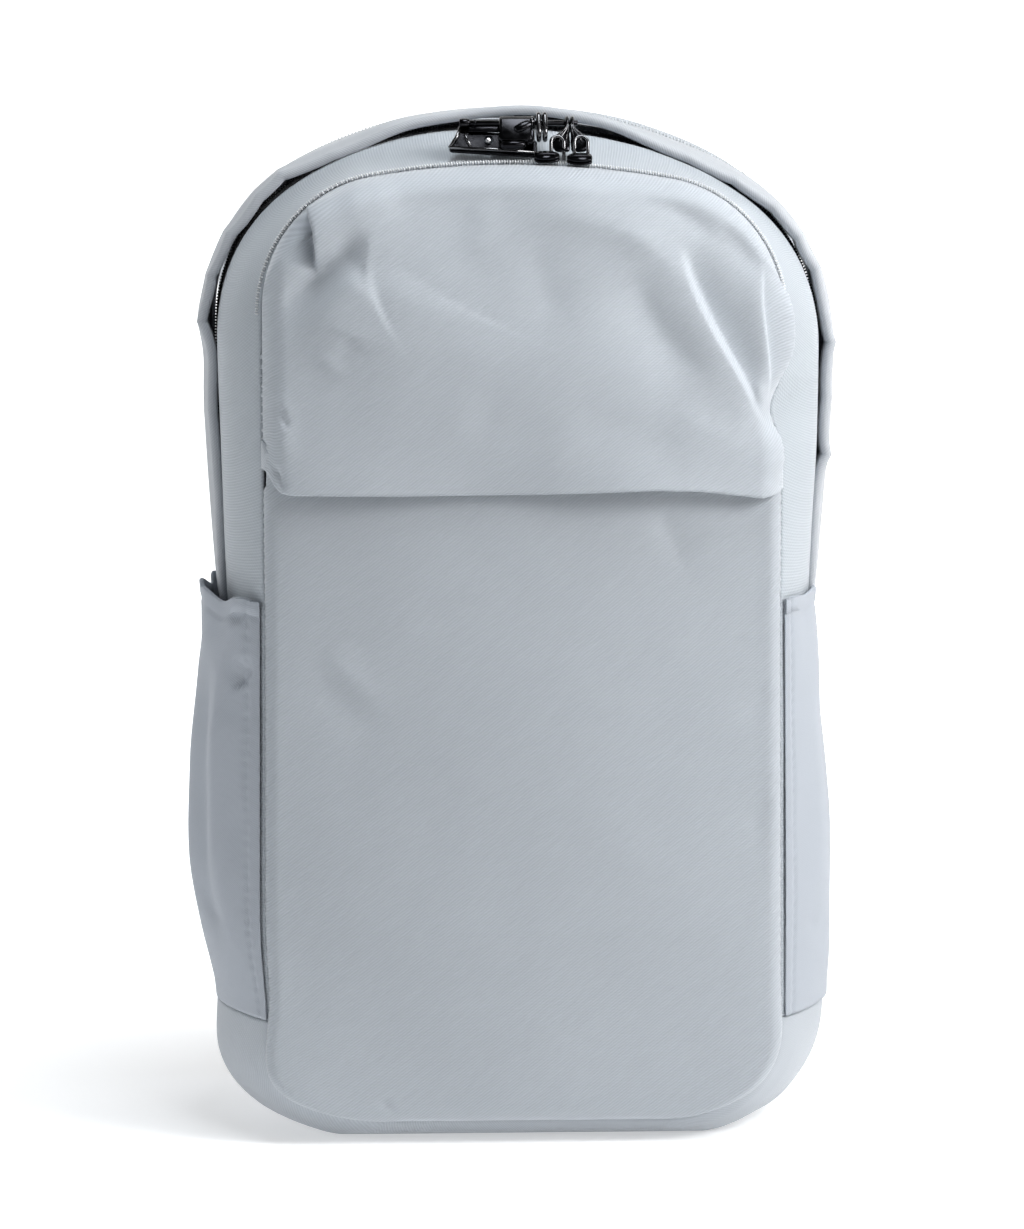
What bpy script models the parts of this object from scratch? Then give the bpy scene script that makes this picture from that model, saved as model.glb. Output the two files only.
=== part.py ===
"""Day backpack with a lockable top: cloth body, stash flap, side pockets, straps and metal lock hardware.

The body is drawn as outlines at a few depths, joined by thin cloth bands. Each outline is half a
backpack seen from the front: flat base, round corner, side, shoulder arc and top arc.
Lengths are metres, +Z is up and the front faces -Y. Heights start at the floor. Depths start at the
main zip, and the whole bag is then shifted so that the frame's origin is under its middle.
"""

import math
from collections import namedtuple

import bmesh
import bpy
from mathutils import Matrix, Vector

# Cloth and seams
CLOTH = 0.0015
FLAP_CLOTH = 0.0018
SEAM_GAP = 0.0003
SEAM_HEIGHT = 0.057
WAIST_HEIGHT = 0.240

# Depths of the body, measured from the main zip
FRONT_DEPTH = 0.072
FRONT_LEAN = 0.020
LEAN_POWER = 2.0
FRONT_EASE = 0.9
ZIP_HALF_TAPE = 0.006
REAR_DEPTH = 0.072
PAD_THICKNESS = 0.010

# Outlines: width halves at the base, seam, waist and shoulder, heights of base and top, arc radii
Outline = namedtuple("Outline", "flat seam waist full low high top_radius shoulder_radius")
FRONT_SEAM = Outline(0.062, 0.118, 0.117, 0.1175, 0.010, 0.446, 0.400, 0.060)
ZIP_LINE = Outline(0.100, 0.143, 0.134, 0.139, 0.000, 0.461, 0.281, 0.0895)
REAR_SEAM = Outline(0.096, 0.140, 0.134, 0.139, 0.001, 0.466, 0.275, 0.085)

# Points along each stretch of an outline
BASE_STEPS, CORNER_STEPS, LOWER_STEPS, UPPER_STEPS, SHOULDER_STEPS, TOP_STEPS = 2, 5, 2, 5, 6, 7

# Rain flap over the main zip: how far its root and edge stand off the body
RAIN_ROOT_DEPTH = 0.022
RAIN_EDGE_DEPTH = -0.011
RAIN_CLOTH = 0.0026
RAIN_SIDE_LIFT = 0.0064
RAIN_WAIST_LIFT = 0.0045
RAIN_TOP_LIFT = 0.0056
RAIN_TURN = 0.0020
RAIN_OPEN_SPAN = 0.052

# Front pocket and the stash flap over it
EDGE_ROLL = 0.006
POCKET_CROWN = 0.009
POCKET_TOP = 0.312
TONGUE_START = 0.2985
TONGUE_INSET = 0.009
HEM_HEIGHT = 0.3005
FLAP_ROLL = 0.011
FLAP_HEM_CROWN = 0.012
FLAP_CROWN = 0.015
FLAP_ROWS = (0.0, 0.025, 0.07, 0.15, 0.25, 0.35, 0.45, 0.54, 0.63, 0.72, 0.80, 0.87, 0.93, 0.97, 0.992, 1.0)

# Side pockets: stand-off in the middle of the top edge, the belly and the foot, and the top edge's
# height over the waist
SidePocket = namedtuple("SidePocket", "side mouth belly foot rise")
SIDE_POCKETS = {
    "side_pocket_left": SidePocket(-1, 0.0110, 0.0138, 0.0012, 0.008),
    "side_pocket_right": SidePocket(1, 0.0064, 0.0076, 0.0012, 0.008),
}
SIDE_POCKET_REAR = 0.048
BELLY_SHARE = 0.56
BELLY_FORWARD = 0.80

# Coil zips and their sliders
MAIN_COIL_RISE = 0.0010
COIL_WIDTH = 0.0042
COIL_THICKNESS = 0.0016
REAR_COIL_DEPTH = 0.040
REAR_COIL_THICKNESS = 0.0025
SLIDER_SIZE = (0.0135, 0.0080, 0.0022)
FRONT_SLIDER_PLACE = 0.0193
FRONT_SLIDER_FORWARD = 0.0007
FRONT_SLIDER_RISE = 0.0035
FRONT_SLIDER_TILT = 38.0
REAR_SLIDER_ANGLE = 48.0

# Straps and handle on the back
STRAP_THICKNESS = 0.009
STRAP_EDGE = 0.0025
WEBBING_WIDTH = 0.025
WEBBING_THICKNESS = 0.0015
HANDLE_WIDTH = 0.022
HANDLE_THICKNESS = 0.003
HANDLE_HALF_SPAN = 0.040
HANDLE_DOWN = 0.007
HANDLE_REACH = 0.024
HANDLE_DROP = 0.008

# Lock: a plate with a rod along its top, a lever that turns on the rod, pulls threaded on it.
# The rod's left end is set across from the middle, back from the front seam's top and above it.
LOCK_SET = (-0.0262, 0.0125, 0.0180)
LOCK_TILT = 35.0
ROD_RADIUS = 0.0012
ROD_LENGTH = 0.0520
ROD_CLEARANCE = 0.00008
PLATE_THICKNESS = 0.0018
PLATE_LENGTH = 0.0398
PLATE_OVERHANG = 0.0063
PLATE_DROPS = (0.0135, 0.0162)
PLATE_HOLE_RADIUS = 0.0022
LEVER_START = 0.0162
LEVER_LENGTH = 0.0166
LEVER_DROP = 0.0145
LEVER_THICKNESS = 0.0045
BARREL_RADIUS = 0.0030
RING_WIRE = 0.0011
RING_BEND = 0.0030
RING_STRAIGHT = 0.0066
RING_PLACES = (0.0343, 0.0371)
RING_RISE = 0.0018
STEM_WIDTH, STEM_THICKNESS = 0.0020, 0.0014
STEM_BACK, STEM_DROP = 0.0030, 0.0010
STEM_CLEARANCE = 0.0021
NECK_PLACE = 0.0484
NECK_GAP = 0.0004
NECK_THICKNESS = 0.0018

# Ripples of the rain flap's edge: place along the edge from the top centre, right side positive
Ripple = namedtuple("Ripple", "place width rise")
RAIN_RIPPLES = (
    Ripple(0.008, 0.038, 0.0046), Ripple(-0.052, 0.018, 0.0018), Ripple(0.046, 0.016, 0.0012),
    Ripple(-0.088, 0.016, -0.0010), Ripple(0.100, 0.018, -0.0012), Ripple(-0.145, 0.012, -0.0008),
    Ripple(-0.192, 0.012, 0.0016), Ripple(-0.212, 0.010, -0.0008), Ripple(0.156, 0.014, -0.0010),
    Ripple(0.225, 0.034, 0.0016), Ripple(0.262, 0.012, -0.0006),
)

# The unpadded top leans: how far the right shoulder is lower and the left one higher
SLUMP = 0.0030
SLUMP_FLOOR = 0.300

# Folds pressed into the flap and panels. Places are shares of the panel: across from -1 to 1 and up
# from 0 to 1. Width is a share of the panel's half width, rise is a share of FLAP_CROWN.
Fold = namedtuple("Fold", "from_across from_up to_across to_up width rise")
FLAP_FOLDS = (
    Fold(0.52, 0.72, 0.94, 0.24, 0.075, 0.30),
    Fold(0.62, 0.66, 0.80, 0.34, 0.060, -0.34),
    Fold(0.93, 0.66, 0.90, 0.38, 0.050, 0.20),
    Fold(0.98, 0.34, 0.86, 0.24, 0.040, -0.26),
    Fold(-0.84, 0.92, -0.78, 0.74, 0.050, -0.46),
    Fold(-0.62, 0.80, -0.90, 0.60, 0.070, -0.34),
    Fold(-0.40, 0.92, -0.66, 0.74, 0.100, 0.16),
    Fold(-0.70, 0.62, -0.60, 0.20, 0.130, -0.16),
    Fold(0.10, 0.80, 0.46, 0.56, 0.130, -0.14),
)

# Shoulder strap: its middle line on the right side, and its width
StrapRow = namedtuple("StrapRow", "across behind height width")
STRAP_ROWS = (
    StrapRow(0.044, 0.0004, 0.430, 0.058),
    StrapRow(0.044, 0.0024, 0.419, 0.059),
    StrapRow(0.048, 0.0160, 0.402, 0.062),
    StrapRow(0.053, 0.0310, 0.368, 0.064),
    StrapRow(0.062, 0.0350, 0.317, 0.062),
    StrapRow(0.073, 0.0320, 0.262, 0.056),
    StrapRow(0.083, 0.0250, 0.212, 0.048),
    StrapRow(0.089, 0.0180, 0.178, 0.038),
)
LADDER_WIDTH = 0.034
LADDER_HEIGHT = 0.022
LADDER_THICKNESS = 0.004
LADDER_BAR = 0.004
ANCHOR_PLACE = (0.118, 0.040)
TAIL_LENGTH = 0.070

SILVER_CLOTH = (0.52, 0.55, 0.60)
LIGHT_CLOTH = (0.66, 0.69, 0.73)
DARK_TAPE = (0.03, 0.035, 0.045)
GUNMETAL = (0.10, 0.10, 0.11)


def material(name, colour, roughness, metallic=0.0):
    """One Principled material, made once and shared by the parts that wear it."""
    found = bpy.data.materials.get(name)
    if found:
        return found
    made = bpy.data.materials.new(name)
    made.use_nodes = True
    shader = made.node_tree.nodes["Principled BSDF"]
    shader.inputs["Base Color"].default_value = (*colour, 1.0)
    shader.inputs["Roughness"].default_value = roughness
    shader.inputs["Metallic"].default_value = metallic
    made.diffuse_color = (*colour, 1.0)
    return made


def body_cloth():
    return material("body_cloth", SILVER_CLOTH, 0.75)


def light_cloth():
    return material("light_cloth", LIGHT_CLOTH, 0.7)


def zip_tape():
    return material("zip_tape", DARK_TAPE, 0.8)


def coil_plastic():
    return material("coil_plastic", LIGHT_CLOTH, 0.45)


def mesh_padding():
    return material("mesh_padding", (0.42, 0.45, 0.49), 0.9)


def strap_webbing():
    return material("strap_webbing", SILVER_CLOTH, 0.8)


def dark_metal():
    return material("dark_metal", GUNMETAL, 0.3, 1.0)


def buckle_plastic():
    return material("buckle_plastic", (0.36, 0.38, 0.42), 0.5)


# Outlines of the body


def front_depth(height):
    """Depth of the front seam at a height: the front leans back towards the top."""
    return -FRONT_DEPTH + FRONT_LEAN * (max(height, 0.0) / FRONT_SEAM.high) ** LEAN_POWER


def between(first, second, share):
    """The outline part of the way from one outline to another."""
    return Outline(*(a + (b - a) * share for a, b in zip(first, second)))


def grown(line, by):
    """The outline moved outwards all round."""
    return line._replace(
        seam=line.seam + by, waist=line.waist + by, full=line.full + by, low=line.low - by,
        high=line.high + by, top_radius=line.top_radius + by,
        shoulder_radius=line.shoulder_radius + by,
    )


def shoulder_centre(line):
    """Centre of the shoulder arc, which meets the top arc and the side smoothly."""
    across = line.full - line.shoulder_radius
    down = math.sqrt((line.top_radius - line.shoulder_radius) ** 2 - across**2)
    return across, line.high - line.top_radius + down


def half_outline(line, stretches):
    """The right half of an outline from the base to the top, as (x, z), for the named stretches."""
    centre_x, centre_z = shoulder_centre(line)
    turn = math.asin(centre_x / (line.top_radius - line.shoulder_radius))
    points = []

    def base(share):
        return line.flat * share, line.low

    def corner(share):
        angle = share * math.pi / 2
        return (
            line.flat + (line.seam - line.flat) * math.sin(angle),
            SEAM_HEIGHT - (SEAM_HEIGHT - line.low) * math.cos(angle),
        )

    def lower(share):
        return (
            line.seam + (line.waist - line.seam) * share,
            SEAM_HEIGHT + (WAIST_HEIGHT - SEAM_HEIGHT) * share,
        )

    def upper(share):
        ease = math.sin(math.pi / 2 * share)
        return (
            line.waist + (line.full - line.waist) * ease,
            WAIST_HEIGHT + (centre_z - WAIST_HEIGHT) * share,
        )

    def shoulder(share):
        angle = (math.pi / 2 - turn) * share
        return (
            centre_x + line.shoulder_radius * math.cos(angle),
            centre_z + line.shoulder_radius * math.sin(angle),
        )

    def top(share):
        angle = turn * (1 - share)
        return (
            line.top_radius * math.sin(angle),
            line.high - line.top_radius + line.top_radius * math.cos(angle),
        )

    makers = {
        "base": (base, BASE_STEPS), "corner": (corner, CORNER_STEPS), "lower": (lower, LOWER_STEPS),
        "upper": (upper, UPPER_STEPS), "shoulder": (shoulder, SHOULDER_STEPS), "top": (top, TOP_STEPS),
    }
    for stretch in stretches:
        make, steps = makers[stretch]
        first = 1 if points else 0
        points += [make(step / steps) for step in range(first, steps + 1)]
    return points


def over_the_top(line, stretches):
    """An outline that runs up the left side, over the top and down the right side."""
    half = half_outline(line, stretches)
    return [(-x, z) for x, z in half] + [(x, z) for x, z in reversed(half[:-1])]


def under_the_base(line):
    """An outline that runs down the left corner, under the base and up the right corner."""
    half = half_outline(line, ("base", "corner"))
    return [(-x, z) for x, z in reversed(half)] + half[1:]


def width_at(line, height):
    """Half width of an outline at a height."""
    points = half_outline(line, ("base", "corner", "lower", "upper", "shoulder", "top"))[BASE_STEPS:]
    for (x_low, z_low), (x_high, z_high) in zip(points, points[1:]):
        if z_low <= height <= z_high:
            return x_low + (x_high - x_low) * (height - z_low) / (z_high - z_low)
    return points[0][0] if height < points[0][1] else 0.0


def front_line(share):
    """Outline of the front band part of the way from the front seam to the main zip."""
    share = min(share / FRONT_EASE, 1.0)
    line = between(FRONT_SEAM, ZIP_LINE, math.sin(share * math.pi / 2) ** 0.85)
    return line._replace(high=FRONT_SEAM.high + (ZIP_LINE.high - FRONT_SEAM.high) * share**1.3)


def body_line(depth):
    """Outline of the cloth body at a depth between the front seam's foot and the rear seam."""
    if depth < 0:
        return front_line(1 + depth / FRONT_DEPTH)
    return between(ZIP_LINE, REAR_SEAM, depth / REAR_DEPTH)


def settle(x, y, z):
    """Where a point of the soft top comes to rest once it has leaned to the right."""
    rise = (z - SLUMP_FLOOR) / (ZIP_LINE.high - SLUMP_FLOOR)
    if rise <= 0:
        return x, y, z
    depth = (y + FRONT_DEPTH) / FRONT_DEPTH if y < 0 else 1 - y / REAR_DEPTH
    across = math.sin(math.pi / 2 * max(-1.0, min(1.0, x / (0.8 * ZIP_LINE.full))))
    return x, y, z - SLUMP * across * max(depth, 0.0) * math.sin(math.pi / 2 * min(rise * 1.5, 1.0)) ** 2


# Making meshes


def new_object(name, mesh, finish, parent):
    mesh.materials.append(finish)
    made = bpy.data.objects.new(name, mesh)
    parts.objects.link(made)
    made.parent = parent
    return made


def grid_mesh(name, columns, rows, place):
    """A grid of cloth whose corners place(column, row) puts in space."""
    mesh = bpy.data.meshes.new(name)
    shape = bmesh.new()
    bmesh.ops.create_grid(shape, x_segments=columns - 1, y_segments=rows - 1, size=1.0)
    for vert in shape.verts:
        column = round((vert.co.x + 1) / 2 * (columns - 1))
        row = round((vert.co.y + 1) / 2 * (rows - 1))
        vert.co = Vector(settle(*place(column, row)))
    shape.to_mesh(mesh)
    shape.free()
    return mesh


def sheet(name, columns, rows, place, thickness, finish, parent, flip=False, centred=False):
    """A cloth sheet: a placed grid given its thickness on the inner side, or on both."""
    mesh = grid_mesh(name, columns, rows, place)
    if flip:
        mesh.flip_normals()
    made = new_object(name, mesh, finish, parent)
    wall = made.modifiers.new("Wall", "SOLIDIFY")
    wall.thickness = thickness
    wall.offset = 0.0 if centred else -1.0
    mesh.shade_smooth()
    return made


def mesh_of(made):
    """The object's evaluated mesh, with a curve's loose caps joined on."""
    bpy.context.view_layer.update()
    graph = bpy.context.evaluated_depsgraph_get()
    mesh = bpy.data.meshes.new_from_object(made.evaluated_get(graph))
    shape = bmesh.new()
    shape.from_mesh(mesh)
    bmesh.ops.remove_doubles(shape, verts=shape.verts, dist=1e-6)
    bmesh.ops.recalc_face_normals(shape, faces=shape.faces)
    shape.to_mesh(mesh)
    shape.free()
    return mesh


def settled(made):
    """The same object with its curve or modifiers turned into a plain mesh."""
    mesh = mesh_of(made)
    name, parent, place = made.name, made.parent, made.matrix_local.copy()
    finish = made.data.materials[0]
    bpy.data.objects.remove(made)
    mesh.materials.clear()
    mesh.materials.append(finish)
    plain = bpy.data.objects.new(name, mesh)
    parts.objects.link(plain)
    plain.parent = parent
    plain.matrix_local = place
    return plain


def plate(name, corners, thickness, finish, parent, bevel=0.0):
    """A flat piece cut to an outline in its own XZ plane, centred on its own Y."""
    curve = bpy.data.curves.new(name, "CURVE")
    curve.dimensions = "2D"
    curve.fill_mode = "BOTH"
    curve.extrude = thickness / 2 - bevel
    curve.bevel_depth = bevel
    curve.bevel_resolution = 1
    curve.offset = -bevel
    spline = curve.splines.new("POLY")
    spline.points.add(len(corners) - 1)
    for point, (x, z) in zip(spline.points, corners):
        point.co = (x, z, 0.0, 1.0)
    spline.use_cyclic_u = True
    curve.materials.append(finish)
    made = bpy.data.objects.new(name, curve)
    parts.objects.link(made)
    mesh = mesh_of(made)
    bpy.data.objects.remove(made)
    mesh.transform(Matrix.Rotation(math.pi / 2, 4, "X"))
    return new_object(name, mesh, finish, parent)


def wire(name, points, radius, finish, parent, closed=False, sides=2):
    """A round wire along a line of points, as a closed mesh."""
    curve = bpy.data.curves.new(name, "CURVE")
    curve.dimensions = "3D"
    curve.bevel_depth = radius
    curve.bevel_resolution = sides
    curve.use_fill_caps = True
    spline = curve.splines.new("POLY")
    spline.points.add(len(points) - 1)
    for point, place in zip(spline.points, points):
        point.co = (*place, 1.0)
    spline.use_cyclic_u = closed
    curve.materials.append(finish)
    made = bpy.data.objects.new(name, curve)
    parts.objects.link(made)
    mesh = mesh_of(made)
    bpy.data.objects.remove(made)
    return new_object(name, mesh, finish, parent)


def box(name, size, centre, finish, parent, bevel=0.0):
    mesh = bpy.data.meshes.new(name)
    shape = bmesh.new()
    bmesh.ops.create_cube(shape, size=1.0)
    bmesh.ops.scale(shape, vec=size, verts=shape.verts)
    bmesh.ops.translate(shape, vec=centre, verts=shape.verts)
    if bevel:
        bmesh.ops.bevel(
            shape, geom=shape.edges[:], offset=bevel, segments=1, profile=0.5, affect="EDGES",
            material=-1,
        )
    shape.to_mesh(mesh)
    shape.free()
    return new_object(name, mesh, finish, parent)


def cylinder(name, radius, low, high, finish, parent, sides=20):
    """A round bar along the part's own X axis, from low to high."""
    mesh = bpy.data.meshes.new(name)
    shape = bmesh.new()
    bmesh.ops.create_cone(
        shape, cap_ends=True, segments=sides, radius1=radius, radius2=radius, depth=high - low
    )
    turn = Matrix.Rotation(math.pi / 2, 4, "Y")
    bmesh.ops.transform(shape, matrix=turn, verts=shape.verts)
    bmesh.ops.translate(shape, vec=((low + high) / 2, 0, 0), verts=shape.verts)
    shape.to_mesh(mesh)
    shape.free()
    return new_object(name, mesh, finish, parent)


def combine(made, other, operation):
    """Joins another solid to this one, or cuts it away, and removes the other."""
    step = made.modifiers.new(operation.title(), "BOOLEAN")
    step.operation = operation
    step.object = other
    plain = settled(made)
    bpy.data.objects.remove(other)
    return plain


# The cloth body


def band(name, stretches, depths, lines, thickness, finish):
    """A cloth band over the top of the bag: outlines at a row of depths."""
    rings = [over_the_top(line, stretches) for line in lines]
    count = len(rings[0])

    def place(column, row):
        x, z = rings[row][column]
        depth = depths[row](z) if callable(depths[row]) else depths[row]
        return x, depth, z

    return sheet(name, count, len(rings), place, thickness, finish, bag)


UPRIGHT = ("lower", "upper", "shoulder", "top")
HOOD = ("upper", "shoulder", "top")


def front_gusset():
    """The side and top band between the front seam and the main zip."""
    shares = (0.0, 0.10, 0.45, FRONT_EASE, 1.0)
    rear = -ZIP_HALF_TAPE - SEAM_GAP / 2
    depths = [lambda z, s=s: front_depth(z) + (rear - front_depth(z)) * s for s in shares]
    lines = [front_line(s)._replace(seam=front_line(s).seam - SEAM_GAP) for s in shares]
    return band("front_gusset", UPRIGHT, depths, lines, CLOTH, body_cloth())


def main_zipper():
    """Dark zip tape with its coil, from seam to seam over the top."""
    front, rear = -ZIP_HALF_TAPE + SEAM_GAP / 2, ZIP_HALF_TAPE - SEAM_GAP / 2
    depths = [front, -0.002, 0.0, 0.002, rear]
    rises = [0.0, 0.0, MAIN_COIL_RISE, 0.0, 0.0]
    lines = [grown(body_line(max(depth, 0.0)), rise) for depth, rise in zip(depths, rises)]
    lines = [line._replace(seam=line.seam - SEAM_GAP) for line in lines]
    return band("main_zipper", UPRIGHT, depths, lines, CLOTH, zip_tape())


def rear_gusset():
    """The side and top band between the main zip and the back panel."""
    depths = [ZIP_HALF_TAPE + SEAM_GAP / 2, 0.5 * REAR_DEPTH, REAR_DEPTH - SEAM_GAP / 2]
    lines = [body_line(depth) for depth in depths]
    lines = [line._replace(seam=line.seam - SEAM_GAP) for line in lines]
    return band("rear_gusset", UPRIGHT, depths, lines, CLOTH, body_cloth())


def bottom_panel():
    """The trough that the bag stands on: base and both lower corners."""
    rows = (
        (0.000, 0.0100), (0.035, 0.0040), (0.110, 0.0), (0.470, 0.0),
        (0.880, 0.0), (0.965, 0.0), (1.000, 0.0010),
    )
    depths = [-FRONT_DEPTH + (FRONT_DEPTH + REAR_DEPTH) * share for share, _ in rows]
    lines = [body_line(depth)._replace(low=low) for depth, (_, low) in zip(depths, rows)]
    rings = [under_the_base(line) for line in lines]

    def place(column, row):
        x, z = rings[row][column]
        z = min(z, SEAM_HEIGHT - SEAM_GAP)
        front = front_depth(z) + FRONT_DEPTH
        return x, depths[row] + front * (1 - rows[row][0]) - SEAM_GAP / 2 * rows[row][0], z

    return sheet("bottom_panel", len(rings[0]), len(rings), place, CLOTH, body_cloth(), bag, flip=True)


def places_along(ring):
    """Distance of each point of an outline from its top centre, along the outline."""
    steps = [math.dist(first, second) for first, second in zip(ring, ring[1:])]
    middle = sum(steps) / 2
    return [sum(steps[:index]) - middle for index in range(len(ring))]


def ripple_rise(place):
    """How far the rain flap's edge stands out at a place along it, over its even height."""
    return sum(
        ripple.rise * math.exp(-((place - ripple.place) / ripple.width) ** 2)
        for ripple in RAIN_RIPPLES
    )


def rain_flap():
    """The hood over the main zip: sewn to the rear band, its edge stands forward and off the body."""
    shares = (0.0, 0.35, 0.75, 1.0)
    depths = [RAIN_ROOT_DEPTH + (RAIN_EDGE_DEPTH - RAIN_ROOT_DEPTH) * share for share in shares]
    root = 3 * SEAM_GAP + RAIN_CLOTH
    rings = []
    for share, depth in zip(shares, depths):
        line = body_line(max(depth, 0.0))
        swell = share**0.8
        rings.append(over_the_top(line._replace(
            waist=line.waist + root + (RAIN_WAIST_LIFT - root) * swell,
            full=line.full + root + (RAIN_SIDE_LIFT - root) * swell,
            high=line.high + root + (RAIN_TOP_LIFT - root) * swell,
        ), HOOD))

    places = places_along(rings[-1])
    last = len(rings[0]) - 1

    def place(column, row):
        x, z = rings[row][column]
        before, after = rings[row][max(column - 1, 0)], rings[row][min(column + 1, last)]
        along = Vector((after[0] - before[0], after[1] - before[1])).normalized()
        rise = shares[row] * ripple_rise(places[column])
        if row == len(rings) - 1:
            rise -= RAIN_TURN * (1 - math.exp(-((places[column] / RAIN_OPEN_SPAN) ** 4))) * min(
                1.0, (z - WAIST_HEIGHT) / RAIN_OPEN_SPAN
            )
        return x - along.y * rise, depths[row], z + along.x * rise

    return sheet(
        "rain_flap", len(rings[0]), len(rings), place, RAIN_CLOTH, light_cloth(), bag, flip=True
    )


def front_wall():
    """The flat wall of the main compartment behind the front pocket."""
    inset = CLOTH + 2 * SEAM_GAP + SLUMP / 3
    line = grown(FRONT_SEAM, -inset)
    half = half_outline(line, ("base", "corner", "lower", "upper", "shoulder", "top"))
    corners = half + [(-x, z) for x, z in reversed(half[1:-1])]
    rise = line.high - line.low
    back_at_top = FRONT_LEAN - 0.001
    slant = math.atan2(back_at_top, rise)
    corners = [(x, (z - line.low) / math.cos(slant)) for x, z in corners]
    made = plate("front_wall", corners, CLOTH, body_cloth(), bag)
    made.location = (0.0, -FRONT_DEPTH + 0.003, line.low)
    made.rotation_euler = (-slant, 0.0, 0.0)
    return made


# The front pocket and its flap


def rolled(distance, radius):
    """How far a panel has come forward at a distance from its seam: a quarter round, then flat."""
    share = min(max(distance / radius, 0.0), 1.0)
    return radius * math.sqrt(1 - (1 - share) ** 2)


def front_pocket():
    """The lower front panel, open at its top edge under the flap."""
    columns = 17
    heights = (0.0, 0.003, 0.010, 0.024, 0.048, 0.085, 0.130, 0.180, 0.235, 0.2884, 0.291, POCKET_TOP - 0.010)
    across = [math.sin(math.pi / 2 * (2 * c / (columns - 1) - 1)) for c in range(columns)]

    def place(column, row):
        z = FRONT_SEAM.low + heights[row]
        half = width_at(FRONT_SEAM, z)
        if z > TONGUE_START + 0.001:
            half -= TONGUE_INSET
        x = half * across[column]
        side = rolled(width_at(FRONT_SEAM, z) - abs(x), EDGE_ROLL) / EDGE_ROLL
        foot = rolled(heights[row], EDGE_ROLL) / EDGE_ROLL
        crown = POCKET_CROWN * (1 - (x / FRONT_SEAM.full) ** 2) * min(1.0, heights[row] / 0.09) ** 0.7
        forward = (EDGE_ROLL + crown) * side * foot
        return x, front_depth(z) - SEAM_GAP - forward, z

    return sheet("front_pocket", columns, len(heights), place, CLOTH, body_cloth(), bag)


def fold_rise(across, up):
    """Sum of the pressed folds at a place on the flap, as a share of FLAP_CROWN."""
    total = 0.0
    for fold in FLAP_FOLDS:
        start = Vector((fold.from_across, fold.from_up))
        run = Vector((fold.to_across, fold.to_up)) - start
        along = (Vector((across, up)) - start).dot(run) / run.length_squared
        near = start + run * min(max(along, 0.0), 1.0)
        aside = (Vector((across, up)) - near).length / fold.width
        total += fold.rise * math.exp(-aside * aside)
    return total


def flap_edges():
    """The flap's outline: top arc over both shoulders, and the side seams below it."""
    half = half_outline(FRONT_SEAM, ("shoulder", "top"))
    return [(-x, z) for x, z in half] + [(x, z) for x, z in reversed(half[:-1])]


def pocket_flap():
    """The full upper panel that hangs over the pocket's mouth, with its pressed folds."""
    top = flap_edges()
    columns, rows = len(top), len(FLAP_ROWS)
    corner_z = top[0][1]
    side = FRONT_SEAM.full

    def place(column, row):
        u, v = column / (columns - 1), FLAP_ROWS[row]
        hem_x = side * math.sin(math.pi / 2 * (2 * u - 1))
        hem_z = HEM_HEIGHT
        side_z = hem_z + (corner_z - hem_z) * v
        top_x, top_z = top[column]
        x = (1 - v) * hem_x + v * top_x
        z = (1 - v) * hem_z + v * top_z + side_z - ((1 - v) * hem_z + v * corner_z)
        across = x / side
        to_side = width_at(FRONT_SEAM, min(z, corner_z)) - abs(x)
        reach = min(to_side, (1 - v) * (top_z - hem_z)) if v > 0.5 else to_side
        edge = rolled(reach, FLAP_ROLL) / FLAP_ROLL
        swell = FLAP_HEM_CROWN + (FLAP_CROWN - FLAP_HEM_CROWN) * math.sin(math.pi * min(v * 1.1, 1.0))
        crown = swell * max(1 - across * across, 0.0) ** 0.8
        folds = FLAP_CROWN * fold_rise(across, v) * min(1.0, v / 0.15) * edge
        forward = (FLAP_ROLL + crown) * edge + folds
        return x, front_depth(z) - SEAM_GAP - max(forward, 0.0), z

    return sheet("pocket_flap", columns, rows, place, FLAP_CLOTH, body_cloth(), bag)


# Side pockets


def side_pocket(name, pocket):
    """A cloth pocket on the side, open at its top, from the front seam to the rear band."""
    columns, rows = 13, 10
    stand = SEAM_GAP + CLOTH
    front_gap = 0.0008

    def swell(up):
        if up < BELLY_SHARE:
            share = math.sin(math.pi / 2 * up / BELLY_SHARE)
            return pocket.foot + (pocket.belly - pocket.foot) * share
        share = math.sin(math.pi / 2 * (up - BELLY_SHARE) / (1 - BELLY_SHARE)) ** 2
        return pocket.belly + (pocket.mouth - pocket.belly) * share

    def place(column, row):
        u = (1 - math.cos(math.pi * column / (columns - 1))) / 2
        v = row / (rows - 1)
        z = SEAM_HEIGHT + SEAM_GAP + (WAIST_HEIGHT + pocket.rise - SEAM_HEIGHT) * v
        start = front_depth(z) + front_gap
        y = start + (SIDE_POCKET_REAR - start) * u
        line = body_line(y) if y > 0 else front_line(1 - y / front_depth(z))
        bulge = max(math.sin(math.pi * u**BELLY_FORWARD), 0.0) ** 0.75
        out = width_at(line, z) + stand + swell(v) * bulge
        return pocket.side * out, y, z

    return sheet(name, columns, rows, place, CLOTH, body_cloth(), bag, flip=pocket.side < 0)


# Coil zips on the seams


def front_zipper():
    """Pale coil along the flap's top seam, on the front band just behind the seam."""
    rows = ((0.012, 0.0), (0.050, 0.0008), (0.088, 0.0))
    stand = COIL_THICKNESS + SEAM_GAP + 0.0006
    rings = [
        over_the_top(grown(front_line(share), stand + rise), ("shoulder", "top"))
        for share, rise in rows
    ]

    def place(column, row):
        x, z = rings[row][column]
        return x, front_depth(z) * (1 - rows[row][0]), z

    return sheet(
        "front_zipper", len(rings[0]), len(rings), place, COIL_THICKNESS, coil_plastic(), bag
    )


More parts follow.
